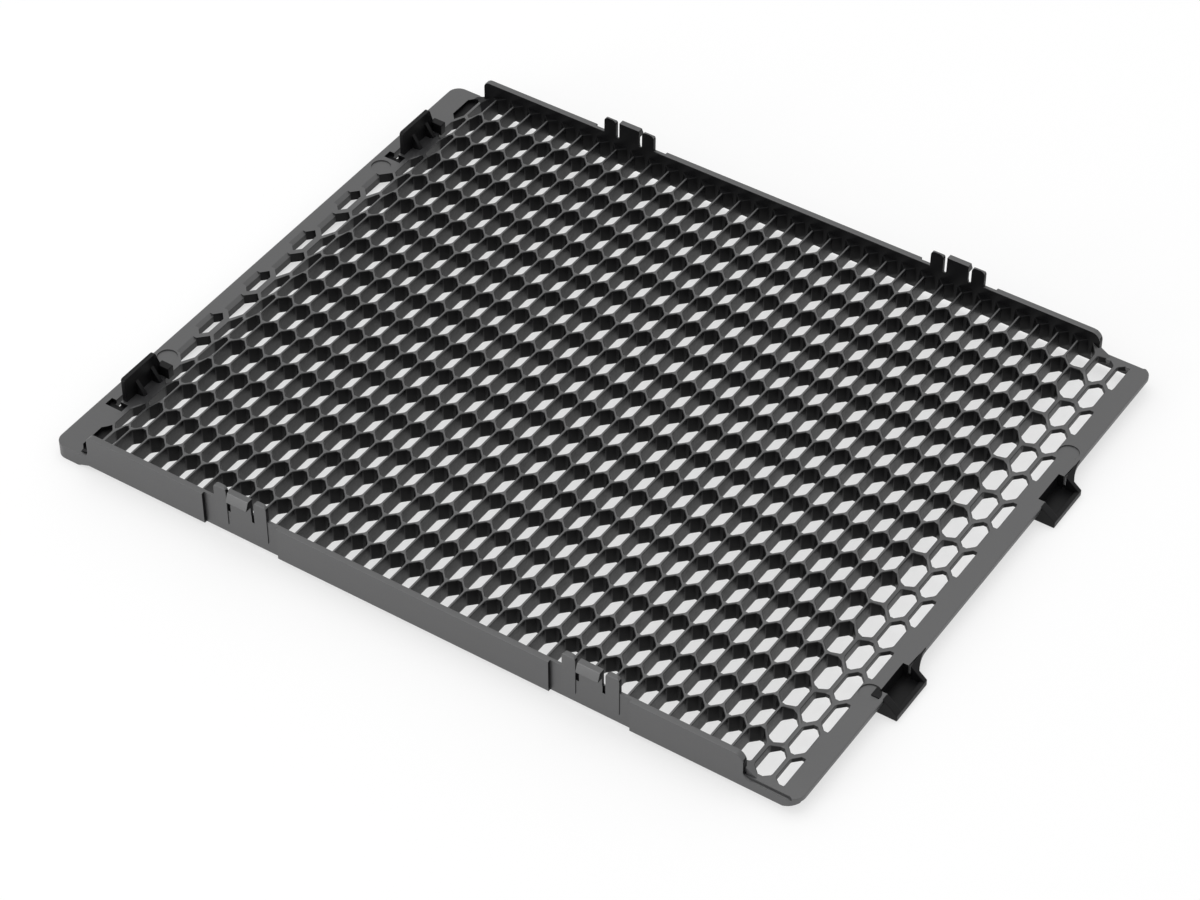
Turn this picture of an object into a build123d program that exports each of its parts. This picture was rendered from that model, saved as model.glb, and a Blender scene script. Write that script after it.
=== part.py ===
from build123d import *
import os

# Motorcycle radiator guard, moulded as one piece: a shallow tray whose floor is a honeycomb grille.
# Frame: X runs along the tray from the clip rail to the hook rail, Y across it, Z up.
# The origin is at the middle of the underside, on the surface that the guard lies on. Sizes in millimetres.

# Overall plan: length over the hooks, and width over the walls, which only the barbs pass
overall_length = 313.6
overall_width = 245.0
corner_radius = 5.5

# Long side walls, seen in elevation: full height in the middle, low at both ends
wall_thickness = 2.6
wall_top = 16.0
wall_bottom = 1.9
wall_corner_radius = 3.0
wall_left_inset = 15.6
wall_right_inset = 21.0
wall_foot_slope = 5.0

# Honeycomb grille
grille_bottom = 5.4
grille_top = 12.0
cell_pitch = 10.4
row_pitch = 18.1
cell_tip = 5.1
rib = 1.3
smallest_opening = 3.0
bevel_run = 6.4
bevel_start = 3.6
clip_end_bevel_run = 10.0
seat = 0.5

# Thin flange and rail at the hook end
flange_top = 7.2
hook_rail_width = 7.2

# Rail at the clip end, a channel that is open below
clip_rail_width = 13.2
clip_rail_top = 5.8
clip_rail_plate = 3.2
clip_rail_skirt = 3.2
slot_rows = 3
slot_length = 14.4
slot_width = 5.2
slot_tip = 2.4
slot_stagger = 2.7
slot_margin = 0.4

# Snap prongs, two groups on each long wall, which lean outwards above it
prong_centres = (-73.4, 70.6)
prong_lean = 1.1
recess_width = 32.0
recess_depth = 1.3
finger_width = 5.4
finger_proud = 0.3
finger_thickness = 1.5
finger_foot = 5.8
finger_top = 23.0
finger_bevel = 0.8
finger_corner = 1.5
tongue_width = 8.4
tongue_top = 22.6
tongue_top_depth = 2.3
barb_reach = 2.3
barb_bottom = 19.1
slit = 2.2
slit_depth = 1.2

# Upright spring clips on the clip rail
clip_centres = (-82.4, 87.2)
clip_length = 21.2
clip_top_length = 17.6
clip_height = 10.3
clip_thickness = 2.0
clip_setback = 6.8
clip_gusset = 4.0
clip_gusset_height = 6.0
clip_gusset_spacing = 8.6
window_length = 26.4
window_width = 3.6

# Hooks that hang from the edge of the hook rail
hook_centres = (-60.0, 48.8)
hook_length = 20.0
hook_reach = 5.6
hook_bite = 3.0
hook_wall = 1.8
hook_floor = 1.6
hook_lip_height = 2.6
hook_cheek = 3.2

# Places that follow from the sizes above
left_edge = -overall_length / 2
right_edge = overall_length / 2 - hook_reach
side_face = overall_width / 2
side_inner_face = side_face - wall_thickness
wall_left = left_edge + wall_left_inset
wall_right = right_edge - wall_right_inset
grille_left = left_edge + clip_rail_width
grille_right = right_edge - hook_rail_width
clip_rail_underside = clip_rail_top - clip_rail_plate


def block(x_range, y_range, z_range):
    """A box between two corners, given as a pair of limits on each axis."""
    middles = [(low + high) / 2 for low, high in (x_range, y_range, z_range)]
    spans = [high - low for low, high in (x_range, y_range, z_range)]
    return Pos(*middles) * Box(*spans)


def elevation(points):
    """A closed outline drawn in X and Z, as a face in the XZ plane."""
    return Plane.XZ * make_face(Polyline(*points, close=True))


def hexagon(x, y, width, length, tip):
    """An upright six-sided outline, pointed along Y, around one centre."""
    half_width = width / 2
    half_length = length / 2
    shoulder = half_length - tip
    return [
        (x, y - half_length),
        (x + half_width, y - shoulder),
        (x + half_width, y + shoulder),
        (x, y + half_length),
        (x - half_width, y + shoulder),
        (x - half_width, y - shoulder),
    ]


def cell_openings():
    """Wires of all grille cells: staggered rows of hexagons, cut off where the tray ends."""
    slope = (cell_tip**2 + (cell_pitch / 2) ** 2) ** 0.5 / (cell_pitch / 2)
    width = cell_pitch - rib
    length = row_pitch + cell_tip - rib * slope
    tip = cell_tip * width / cell_pitch
    first_opening = grille_left + seat
    window = Rectangle(grille_right - first_opening, 2 * side_inner_face)
    window = Pos((first_opening + grille_right) / 2, 0) * window
    last_row = int((side_inner_face - length / 2) // row_pitch)
    last_column = grille_right - rib
    wires = []
    for row in range(-last_row, last_row + 1):
        x = last_column - (0 if row % 2 == 0 else cell_pitch / 2)
        while x + width / 2 - first_opening > smallest_opening:
            outline = hexagon(x, row * row_pitch, width, length, tip)
            cell = make_face(Polyline(*outline, close=True))
            if x - width / 2 < first_opening or x + width / 2 > grille_right:
                cell = window & cell
            wires.append(cell.faces()[0].outer_wire())
            x -= cell_pitch
    return wires


def grille():
    """The honeycomb floor: deep ribs that slope down to the clip rail and to a thin flange at the hook end."""
    outline = Pos((grille_left + grille_right) / 2, 0, grille_bottom) * Rectangle(
        grille_right - grille_left + 2 * seat, 2 * (side_inner_face + seat)
    )
    floor_wires = [Pos(0, 0, grille_bottom) * wire for wire in cell_openings()]
    floor = Face(outline.faces()[0].outer_wire(), floor_wires)
    honeycomb = extrude(floor, grille_top - grille_bottom, dir=(0, 0, 1))
    above = grille_top + seat
    bevel_top = wall_right - bevel_start
    rise = seat * bevel_run / (grille_top - flange_top)
    flange_space = elevation(
        [
            (bevel_top - rise, above),
            (bevel_top + bevel_run, flange_top),
            (right_edge, flange_top),
            (right_edge, above),
        ]
    )
    clip_end_rise = seat * clip_end_bevel_run / (grille_top - clip_rail_top)
    clip_rail_space = elevation(
        [
            (left_edge, clip_rail_top),
            (grille_left, clip_rail_top),
            (grille_left + clip_end_bevel_run + clip_end_rise, above),
            (left_edge, above),
        ]
    )
    honeycomb -= extrude(flange_space, overall_width / 2, both=True)
    return honeycomb - extrude(clip_rail_space, overall_width / 2, both=True)


def side_wall():
    """The long wall on the -Y side, drawn in elevation with its feet, low rims and snap prongs."""
    outline = make_face(
        Polyline(
            (left_edge, 0),
            (wall_left - wall_foot_slope, 0),
            (wall_left, wall_bottom),
            (right_edge, wall_bottom),
            (right_edge, flange_top),
            (wall_right, flange_top),
            (wall_right, wall_top),
            (wall_left, wall_top),
            (wall_left, clip_rail_top),
            (left_edge, clip_rail_top),
            close=True,
        )
    )
    rounded = outline.vertices().filter_by(lambda corner: abs(corner.Y - wall_top) < 1e-6)
    notch = outline.vertices().filter_by(
        lambda corner: abs(corner.X - wall_right) < 1e-6 and abs(corner.Y - flange_top) < 1e-6
    )
    outline = fillet(rounded + notch, wall_corner_radius)
    wall = extrude(Plane.XZ.offset(side_inner_face) * outline, wall_thickness)
    for centre in prong_centres:
        span = (centre - recess_width / 2, centre + recess_width / 2)
        wall -= block(span, (-side_face, -side_face + recess_depth), (0, wall_top))
    for centre in prong_centres:
        wall += prong_group(centre)
    return wall


def prong_group(centre):
    """Two stiff fingers with a barbed tongue between them, on the inner part of the -Y wall."""
    slit_floor = wall_top - slit_depth
    recess_face = wall_thickness - recess_depth
    finger_root = recess_face + finger_proud
    finger_offset = tongue_width / 2 + slit + finger_width / 2
    barb_lean = prong_lean * (barb_bottom - wall_top) / (tongue_top - wall_top)

    # Sections drawn as distance out from the wall's inner face against height.
    # The barb has a flat top, a ramp outwards and a catch face below it.
    tongue_section = [
        (0, slit_floor),
        (recess_face, slit_floor),
        (recess_face, wall_top),
        (recess_face + barb_lean, barb_bottom),
        (wall_thickness + barb_reach, barb_bottom),
        (prong_lean + tongue_top_depth, tongue_top),
        (prong_lean, tongue_top),
        (0, wall_top),
    ]
    finger_section = [
        (0, finger_foot),
        (finger_root, finger_foot),
        (finger_root, wall_top),
        (prong_lean + finger_thickness, finger_top - finger_bevel),
        (prong_lean + finger_thickness - finger_bevel, finger_top),
        (prong_lean, finger_top),
        (0, wall_top),
    ]
    inner_plane = Plane((centre, -side_inner_face, 0), x_dir=(0, -1, 0), z_dir=(-1, 0, 0))
    tongue = extrude(inner_plane * make_face(Polyline(*tongue_section, close=True)), tongue_width / 2, both=True)
    finger = extrude(inner_plane * make_face(Polyline(*finger_section, close=True)), finger_width / 2, both=True)
    finger &= finger_elevation(centre)
    return tongue + Pos(-finger_offset, 0, 0) * finger + Pos(finger_offset, 0, 0) * finger


def finger_elevation(centre):
    """A finger's outline seen from the side of the tray, with its two top corners cut off."""
    half_width = finger_width / 2
    outline = elevation(
        [
            (centre - half_width, finger_foot),
            (centre + half_width, finger_foot),
            (centre + half_width, finger_top - finger_corner),
            (centre + half_width - finger_corner, finger_top),
            (centre - half_width + finger_corner, finger_top),
            (centre - half_width, finger_top - finger_corner),
        ]
    )
    return extrude(outline, overall_width, both=True)


def prong_slits():
    """The slits that free each tongue from its fingers, cut a little below the wall's top."""
    slit_offset = (tongue_width + slit) / 2
    cuts = []
    for centre in prong_centres:
        for side in (-slit_offset, slit_offset):
            span = (centre + side - slit / 2, centre + side + slit / 2)
            cuts.append(block(span, (-side_face, -side_inner_face), (wall_top - slit_depth, finger_top)))
    return cuts


def clip_rail():
    """The channel at the clip end: a slotted plate that the grille slopes down to, and an outer skirt."""
    across = (-side_inner_face - seat, side_inner_face + seat)
    rail = block((left_edge, grille_left + seat), across, (clip_rail_underside, clip_rail_top))
    rail += block((left_edge, left_edge + clip_rail_skirt), across, (0, clip_rail_top))
    slot_x = grille_left - slot_margin - slot_width / 2
    for row in range(-slot_rows, slot_rows + 1):
        x = slot_x - (0 if row % 2 == 0 else slot_stagger)
        outline = hexagon(x, row * row_pitch, slot_width, slot_length, slot_tip)
        rail -= extrude(make_face(Polyline(*outline, close=True)), clip_rail_top + seat)
    return rail


def spring_clip(centre):
    """An upright spring plate with two gussets, which stands on the clip rail."""
    foot = clip_rail_top - seat
    top = clip_rail_top + clip_height
    inner_face = left_edge + clip_setback + clip_thickness
    near_end = centre - clip_length / 2
    side_view = [
        (near_end, foot),
        (near_end + clip_length, foot),
        (near_end + clip_top_length, top),
        (near_end, top),
    ]
    plate_plane = Plane((inner_face, 0, 0), x_dir=(0, 1, 0), z_dir=(1, 0, 0))
    plate = extrude(plate_plane * make_face(Polyline(*side_view, close=True)), -clip_thickness)
    gusset_section = elevation(
        [
            (inner_face - seat, foot),
            (inner_face + clip_gusset, foot),
            (inner_face + clip_gusset, clip_rail_top + seat),
            (inner_face, clip_rail_top + clip_gusset_height),
            (inner_face - seat, clip_rail_top + clip_gusset_height),
        ]
    )
    gusset = extrude(gusset_section, clip_thickness / 2, both=True)
    for side in (-clip_gusset_spacing / 2, clip_gusset_spacing / 2):
        plate += Pos(0, centre + side, 0) * gusset
    return plate


def clip_window(centre):
    """The opening in the clip rail behind one spring plate."""
    outer_face = left_edge + clip_setback
    span = (centre - window_length / 2, centre + window_length / 2)
    return block((outer_face - window_width, outer_face), span, (0, clip_rail_top))


def hook_rail():
    """The thin rail at the hook end, level with the grille's flange."""
    across = (-side_inner_face - seat, side_inner_face + seat)
    return block((grille_right, right_edge), across, (grille_bottom, flange_top))


def hook_mouth(centre):
    """The notch that one hook's pocket bites into the rail's edge."""
    span = (centre - hook_length / 2 + hook_cheek, centre + hook_length / 2 - hook_wall)
    return block((right_edge - hook_bite, right_edge), span, (hook_floor, flange_top))


def edge_hook(centre):
    """A pocket hung from the rail's edge: a back plate, a floor with a low lip, and two sloping cheeks."""
    tip = right_edge + hook_reach
    pocket_back = right_edge - hook_bite
    near_end = centre - hook_length / 2
    far_end = centre + hook_length / 2
    pocket_section = elevation(
        [
            (pocket_back - hook_wall, 0),
            (tip, 0),
            (tip, hook_lip_height),
            (tip - hook_wall, hook_lip_height),
            (tip - hook_wall, hook_floor),
            (pocket_back, hook_floor),
            (pocket_back, flange_top),
            (pocket_back - hook_wall, flange_top),
        ]
    )
    cheek_section = elevation(
        [
            (pocket_back - hook_wall, 0),
            (tip, 0),
            (tip, hook_lip_height),
            (right_edge, flange_top),
            (pocket_back - hook_wall, flange_top),
        ]
    )
    hook = Pos(0, centre, 0) * extrude(pocket_section, hook_length / 2, both=True)
    hook += Pos(0, near_end, 0) * extrude(cheek_section, -hook_cheek)
    hook += Pos(0, far_end, 0) * extrude(cheek_section, hook_wall)
    return hook


def radiator_guard():
    """The whole moulding as one solid."""
    wall = side_wall()
    for cut in prong_slits():
        wall -= cut
    frame = wall + mirror(wall, about=Plane.XZ) + clip_rail() + hook_rail()
    corners = frame.edges().filter_by(Axis.Z)
    corners = corners.filter_by(lambda edge: abs(abs(edge.center().Y) - side_face) < 1e-6)
    corners = corners.filter_by(
        lambda edge: min(abs(edge.center().X - left_edge), abs(edge.center().X - right_edge)) < 1e-6
    )
    frame = fillet(corners, corner_radius)
    for centre in clip_centres:
        frame -= clip_window(centre)
    for centre in clip_centres:
        frame += spring_clip(centre)
    for centre in hook_centres:
        frame -= hook_mouth(centre)
    for centre in hook_centres:
        frame += edge_hook(centre)
    return frame + grille()


os.makedirs("parts", exist_ok=True)
export_step(radiator_guard(), "parts/radiator_guard.step")
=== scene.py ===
"""Looks of a moulded motorcycle radiator guard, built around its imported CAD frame.

All sizes are in millimetres in the frame of the CAD part: X runs from the clip rail to the hook rail,
Y across the tray, Z up. The whole guard is one moulding, so all parts are joined into one closed mesh.
"""

from __future__ import annotations

import logging
import math
from collections.abc import Callable, Sequence
from dataclasses import dataclass, field
from enum import Enum

import bmesh
import bpy
from mathutils import Matrix, Vector

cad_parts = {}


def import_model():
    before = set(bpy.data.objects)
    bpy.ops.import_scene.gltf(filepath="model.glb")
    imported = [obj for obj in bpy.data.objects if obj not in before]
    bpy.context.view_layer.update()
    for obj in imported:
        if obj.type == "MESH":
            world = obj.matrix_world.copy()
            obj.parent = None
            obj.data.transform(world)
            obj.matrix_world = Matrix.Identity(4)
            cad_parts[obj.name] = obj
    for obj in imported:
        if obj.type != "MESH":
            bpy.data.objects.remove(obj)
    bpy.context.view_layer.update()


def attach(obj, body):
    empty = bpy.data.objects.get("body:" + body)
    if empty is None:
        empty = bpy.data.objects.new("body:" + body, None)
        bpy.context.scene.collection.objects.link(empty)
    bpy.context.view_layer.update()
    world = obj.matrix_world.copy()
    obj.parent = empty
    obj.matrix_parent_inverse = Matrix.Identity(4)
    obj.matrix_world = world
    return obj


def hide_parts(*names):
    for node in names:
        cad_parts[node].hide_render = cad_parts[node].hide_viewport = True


LOG = logging.getLogger("radiator_guard")
MM = 0.001
NODE = "radiator_guard"
BODY = "root"
ARC_STEP = math.radians(15)
SHARP_ANGLE = math.radians(32)
BEVEL_ANGLE = math.radians(30)
CIRCLE_STEPS = 32
# Slant past which a cell or slot wall counts as an end and gets painted shade.
END_SLANT = 0.55
SHORTEST_EDGE = 0.001
WHITE = (1.0, 1.0, 1.0, 1.0)

Span = tuple[float, float]
Place = tuple[float, float, float]
Corner = tuple[float, float, float]
SlotSize = tuple[float, float, float]
Outline = list[tuple[float, float]]
Socket = bpy.types.NodeSocket
Value = Socket | float | int | bool | str | tuple


class Axis(Enum):
    """The direction that a prism is drawn out along."""

    X = "x"
    Y = "y"
    Z = "z"

    def place(self, first: float, second: float, level: float) -> Vector:
        """Put an outline point and a level into the frame.

        Args:
            first: First outline coordinate in millimetres.
            second: Second outline coordinate in millimetres.
            level: Distance along this axis in millimetres.

        Returns:
            The point in metres.
        """
        if self is Axis.X:
            point = (level, first, second)
        elif self is Axis.Y:
            point = (first, level, second)
        else:
            point = (first, second, level)
        return Vector(point) * MM


class Combine(Enum):
    """How one closed mesh acts on another."""

    JOIN = "UNION"
    CUT = "DIFFERENCE"
    KEEP_COMMON = "INTERSECT"


class FinishOrShade(Enum):
    """Which tone a face has, as its material index: the grained plastic, or a darker copy of it that paints
    shade.
    """

    GRAINED = 0
    # Darker copy of the plastic on the walls of cells and slots: painted shade.
    CORE_SIDE = 1
    # Darkest copy of the plastic: painted shade in deep or shaded places.
    DEEP_BLACK = 2


def new_object(name: str, mesh: bpy.types.Mesh) -> bpy.types.Object:
    """Link a mesh into the scene as an object at the origin.

    Args:
        name: Name of the object.
        mesh: Mesh that it shows.

    Returns:
        The new object.
    """
    made = bpy.data.objects.new(name, mesh)
    bpy.context.scene.collection.objects.link(made)
    return made


def rounded(corners: Sequence[Corner]) -> Outline:
    """Draw a closed outline whose corners are arcs.

    Args:
        corners: Corner points in order, each with its radius, 0 for a sharp corner.

    Returns:
        The outline's points.
    """
    points: Outline = []
    for index, (x, y, radius) in enumerate(corners):
        if radius <= 0:
            points.append((x, y))
            continue
        corner = Vector((x, y))
        before = (Vector(corners[index - 1][:2]) - corner).normalized()
        after = (Vector(corners[(index + 1) % len(corners)][:2]) - corner).normalized()
        half_angle = before.angle(after) / 2
        centre = corner + (before + after).normalized() * (radius / math.sin(half_angle))
        start = corner + before * (radius / math.tan(half_angle)) - centre
        turn = (corner + after * (radius / math.tan(half_angle)) - centre).angle_signed(start)
        steps = max(2, math.ceil(abs(turn) / ARC_STEP))
        for step in range(steps + 1):
            spoke = Matrix.Rotation(turn * step / steps, 2) @ start
            points.append(tuple(centre + spoke))
    return points


def circle(x: float, y: float, radius: float) -> Outline:
    """Draw a circle as an outline of short straight runs."""
    angles = [2 * math.pi * step / CIRCLE_STEPS for step in range(CIRCLE_STEPS)]
    return [(x + radius * math.cos(angle), y + radius * math.sin(angle)) for angle in angles]


def prism(name: str, axis: Axis, outline: Outline, low: float, high: float) -> bpy.types.Object:
    """Draw an outline out into a closed prism.

    Args:
        name: Name of the object.
        axis: Direction of the prism.
        outline: Closed outline across that direction, in millimetres.
        low: Lower end along the axis.
        high: Upper end along the axis.

    Returns:
        The prism as an object.
    """
    work = bmesh.new()
    rings = [[work.verts.new(axis.place(u, v, level)) for u, v in outline] for level in (low, high)]
    work.faces.new(rings[0])
    work.faces.new(rings[1])
    count = len(outline)
    for index in range(count):
        following = (index + 1) % count
        work.faces.new((rings[0][index], rings[0][following], rings[1][following], rings[1][index]))
    bmesh.ops.recalc_face_normals(work, faces=work.faces)
    mesh = bpy.data.meshes.new(name)
    work.to_mesh(mesh)
    work.free()
    return new_object(name, mesh)


def block(name: str, x: Span, y: Span, z: Span) -> bpy.types.Object:
    """Make a box between two limits on each axis."""
    outline = [(x[0], y[0]), (x[1], y[0]), (x[1], y[1]), (x[0], y[1])]
    return prism(name, Axis.Z, outline, z[0], z[1])


def bake(part: bpy.types.Object) -> None:
    """Replace an object's mesh by what its modifiers give, and remove them.

    Args:
        part: Object to bake.
    """
    graph = bpy.context.evaluated_depsgraph_get()
    baked = bpy.data.meshes.new_from_object(part.evaluated_get(graph))
    part.modifiers.clear()
    old = part.data
    part.data = baked
    baked.name = part.name
    bpy.data.meshes.remove(old)


def soften(part: bpy.types.Object, width: float, segments: int = 2) -> bpy.types.Object:
    """Round a part's sharp edges.

    Args:
        part: Part to work on.
        width: Width of the rounding in millimetres.
        segments: Steps across the rounding.

    Returns:
        The same part.
    """
    bevel = part.modifiers.new("soften", "BEVEL")
    bevel.width = width * MM
    bevel.segments = segments
    bevel.limit_method = "ANGLE"
    bevel.angle_limit = BEVEL_ANGLE
    bake(part)
    return part


def clean(part: bpy.types.Object, shortest: float) -> bpy.types.Object:
    """Dissolve a closed mesh's shortest edges and flat faces, and turn its faces outwards.

    Args:
        part: Part to work on.
        shortest: Length in millimetres up to which an edge is dissolved.

    Returns:
        The same part.
    """
    work = bmesh.new()
    work.from_mesh(part.data)
    bmesh.ops.dissolve_degenerate(work, dist=shortest * MM, edges=work.edges)
    bmesh.ops.recalc_face_normals(work, faces=work.faces)
    work.to_mesh(part.data)
    work.free()
    return part


def combine(base: bpy.types.Object, tool: bpy.types.Object, how: Combine) -> bpy.types.Object:
    """Join, cut or trim one closed mesh with another, which is used up.

    Args:
        base: Mesh that is changed.
        tool: Mesh that acts on it.
        how: What it does.

    Returns:
        The changed base.
    """
    action = base.modifiers.new(how.name, "BOOLEAN")
    action.operation = how.value
    action.solver = "MANIFOLD"
    action.object = tool
    bake(base)
    used = tool.data
    bpy.data.objects.remove(tool)
    bpy.data.meshes.remove(used)
    return base


def mirrored(part: bpy.types.Object, name: str) -> bpy.types.Object:
    """Copy a part to the other side of the tray.

    Args:
        part: Part on the -Y side.
        name: Name of the copy.

    Returns:
        The copy on the +Y side, with its faces turned outwards.
    """
    mesh = part.data.copy()
    work = bmesh.new()
    work.from_mesh(mesh)
    bmesh.ops.scale(work, vec=(1, -1, 1), verts=work.verts)
    bmesh.ops.reverse_faces(work, faces=work.faces)
    work.to_mesh(mesh)
    work.free()
    return new_object(name, mesh)


@dataclass
class TreeBuilder:
    """Adds nodes and links to one node tree."""

    tree: bpy.types.NodeTree
    inputs: dict[str, Socket] = field(default_factory=dict)
    keys: dict[str, str] = field(default_factory=dict)

    def declare(self, sockets: Sequence[tuple[str, str]]) -> None:
        """Give the tree named inputs.

        Args:
            sockets: Pairs of an input's name and its socket type.
        """
        for name, kind in sockets:
            made = self.tree.interface.new_socket(name=name, in_out="INPUT", socket_type=kind)
            self.keys[name] = made.identifier
        entry = self.tree.nodes.new("NodeGroupInput")
        for name, _ in sockets:
            self.inputs[name] = entry.outputs[name]

    def feed(self, socket: Socket, value: Value) -> None:
        """Link another socket to this one, or set its value."""
        if isinstance(value, Socket):
            self.tree.links.new(value, socket)
        else:
            socket.default_value = value

    def node(self, kind: str, feeds: dict[str, Value] | None = None, **settings: object) -> bpy.types.Node:
        """Add a node.

        Args:
            kind: Node type.
            feeds: Values or sockets for its named inputs.
            settings: Properties of the node.

        Returns:
            The new node.
        """
        made = self.tree.nodes.new(kind)
        for name, value in settings.items():
            setattr(made, name, value)
        for name, value in (feeds or {}).items():
            self.feed(made.inputs[name], value)
        return made

    def math(self, operation: str, *values: Value) -> Socket:
        """Add a Math node and return its result."""
        made = self.node("ShaderNodeMath", operation=operation)
        for socket, value in zip(made.inputs, values):
            self.feed(socket, value)
        return made.outputs["Value"]

    def compare(self, operation: str, first: Value, second: Value) -> Socket:
        """Compare two numbers and return a yes or no."""
        feeds = {"A": first, "B": second}
        made = self.node("FunctionNodeCompare", feeds, data_type="FLOAT", operation=operation)
        return made.outputs["Result"]

    def either(self, first: Value, second: Value) -> Socket:
        """Return yes where one of two tests says yes."""
        made = self.node("FunctionNodeBooleanMath", operation="OR")
        self.feed(made.inputs[0], first)
        self.feed(made.inputs[1], second)
        return made.outputs["Boolean"]

    def both(self, first: Value, second: Value) -> Socket:
        """Return yes where two tests both say yes."""
        made = self.node("FunctionNodeBooleanMath", operation="AND")
        self.feed(made.inputs[0], first)
        self.feed(made.inputs[1], second)
        return made.outputs["Boolean"]

    def switch(self, kind: str, test: Value, no: Value, yes: Value) -> Socket:
        """Choose between two values by a yes or no."""
        made = self.node("GeometryNodeSwitch", {"Switch": test, "False": no, "True": yes}, input_type=kind)
        return made.outputs["Output"]

    def vector(self, x: Value, y: Value, z: Value) -> Socket:
        """Put three numbers together."""
        return self.node("ShaderNodeCombineXYZ", {"X": x, "Y": y, "Z": z}).outputs["Vector"]

    def split(self, vector: Value) -> tuple[Socket, ...]:
        """Take a vector apart into its three numbers."""
        made = self.node("ShaderNodeSeparateXYZ", {"Vector": vector})
        return tuple(made.outputs)

    def join(self, *parts: Socket) -> Socket:
        """Put several geometries into one."""
        made = self.node("GeometryNodeJoinGeometry")
        for part in parts:
            self.tree.links.new(part, made.inputs["Geometry"])
        return made.outputs["Geometry"]

    def move(self, geometry: Value, position: Value) -> Socket:
        """Set the place of every point."""
        made = self.node("GeometryNodeSetPosition", {"Geometry": geometry, "Position": position})
        return made.outputs["Geometry"]

    def store(self, geometry: Value, name: str, kind: str, value: Value) -> Socket:
        """Keep a value on every point under a name."""
        feeds = {"Geometry": geometry, "Name": name, "Value": value}
        made = self.node("GeometryNodeStoreNamedAttribute", feeds, data_type=kind, domain="POINT")
        return made.outputs["Geometry"]

    def named(self, name: str, kind: str) -> Socket:
        """Read a value that is kept on every point."""
        made = self.node("GeometryNodeInputNamedAttribute", {"Name": name}, data_type=kind)
        return made.outputs["Attribute"]

    def paint(self, geometry: Value, material: Value, where: Value = True) -> Socket:
        """Set the material of the chosen faces."""
        feeds = {"Geometry": geometry, "Material": material, "Selection": where}
        return self.node("GeometryNodeSetMaterial", feeds).outputs["Geometry"]

    def whole(self, geometry: Value) -> Socket:
        """Turn instances into real faces."""
        return self.node("GeometryNodeRealizeInstances", {"Geometry": geometry}).outputs["Geometry"]

    def finish(self, geometry: Socket) -> None:
        """Send the finished geometry out of the tree."""
        self.tree.interface.new_socket(name="Geometry", in_out="OUTPUT", socket_type="NodeSocketGeometry")
        leave = self.node("NodeGroupOutput")
        self.tree.links.new(geometry, leave.inputs["Geometry"])

    def run(self, name: str, values: dict[str, object]) -> bpy.types.Object:
        """Make a plain mesh object with this tree.

        Args:
            name: Name of the object.
            values: A value for each named input.

        Returns:
            The object, with its modifier baked.
        """
        made = new_object(name, bpy.data.meshes.new(name))
        modifier = made.modifiers.new(name, "NODES")
        modifier.node_group = self.tree
        for label, value in values.items():
            modifier[self.keys[label]] = value
        bake(made)
        return made


def geometry_tree(name: str, sockets: Sequence[tuple[str, str]]) -> TreeBuilder:
    """Start an empty geometry tree.

    Args:
        name: Name of the tree.
        sockets: Its inputs, as pairs of name and socket type.

    Returns:
        A builder for it.
    """
    builder = TreeBuilder(bpy.data.node_groups.new(name, "GeometryNodeTree"))
    builder.declare(sockets)
    return builder


@dataclass
class CopyRow:
    """A geometry tree that repeats one shape at equal steps."""

    material: bpy.types.Material
    builder: TreeBuilder = field(init=False)

    def __post_init__(self) -> None:
        """Build the tree once for all rows."""
        self.builder = geometry_tree(
            "row_of_copies",
            [
                ("Shape", "NodeSocketObject"),
                ("Start", "NodeSocketVector"),
                ("Step", "NodeSocketVector"),
                ("Count", "NodeSocketInt"),
                ("Material", "NodeSocketMaterial"),
            ],
        )
        build = self.builder
        ends = build.inputs
        feeds = {"Count": ends["Count"], "Start Location": ends["Start"], "Offset": ends["Step"]}
        line = build.node("GeometryNodeMeshLine", feeds, mode="OFFSET", count_mode="TOTAL")
        shape = build.node("GeometryNodeObjectInfo", {"Object": ends["Shape"]})
        feeds = {"Points": line.outputs["Mesh"], "Instance": shape.outputs["Geometry"]}
        copies = build.node("GeometryNodeInstanceOnPoints", feeds)
        build.finish(build.paint(build.whole(copies.outputs["Instances"]), ends["Material"]))

    def lay(self, shape: bpy.types.Object, places: Sequence[Place]) -> bpy.types.Object:
        """Repeat a shape, which is used up.

        Args:
            shape: Shape to repeat, drawn around the frame's origin.
            places: First place, second place and so on, at equal steps, in millimetres.

        Returns:
            All copies as one object.
        """
        start = Vector(places[0]) * MM
        step = (Vector(places[1]) - Vector(places[0])) * MM
        values = {
            "Shape": shape,
            "Start": start,
            "Step": step,
            "Count": len(places),
            "Material": self.material,
        }
        made = self.builder.run(shape.name + "_row", values)
        used = shape.data
        bpy.data.objects.remove(shape)
        bpy.data.meshes.remove(used)
        return made


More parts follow.
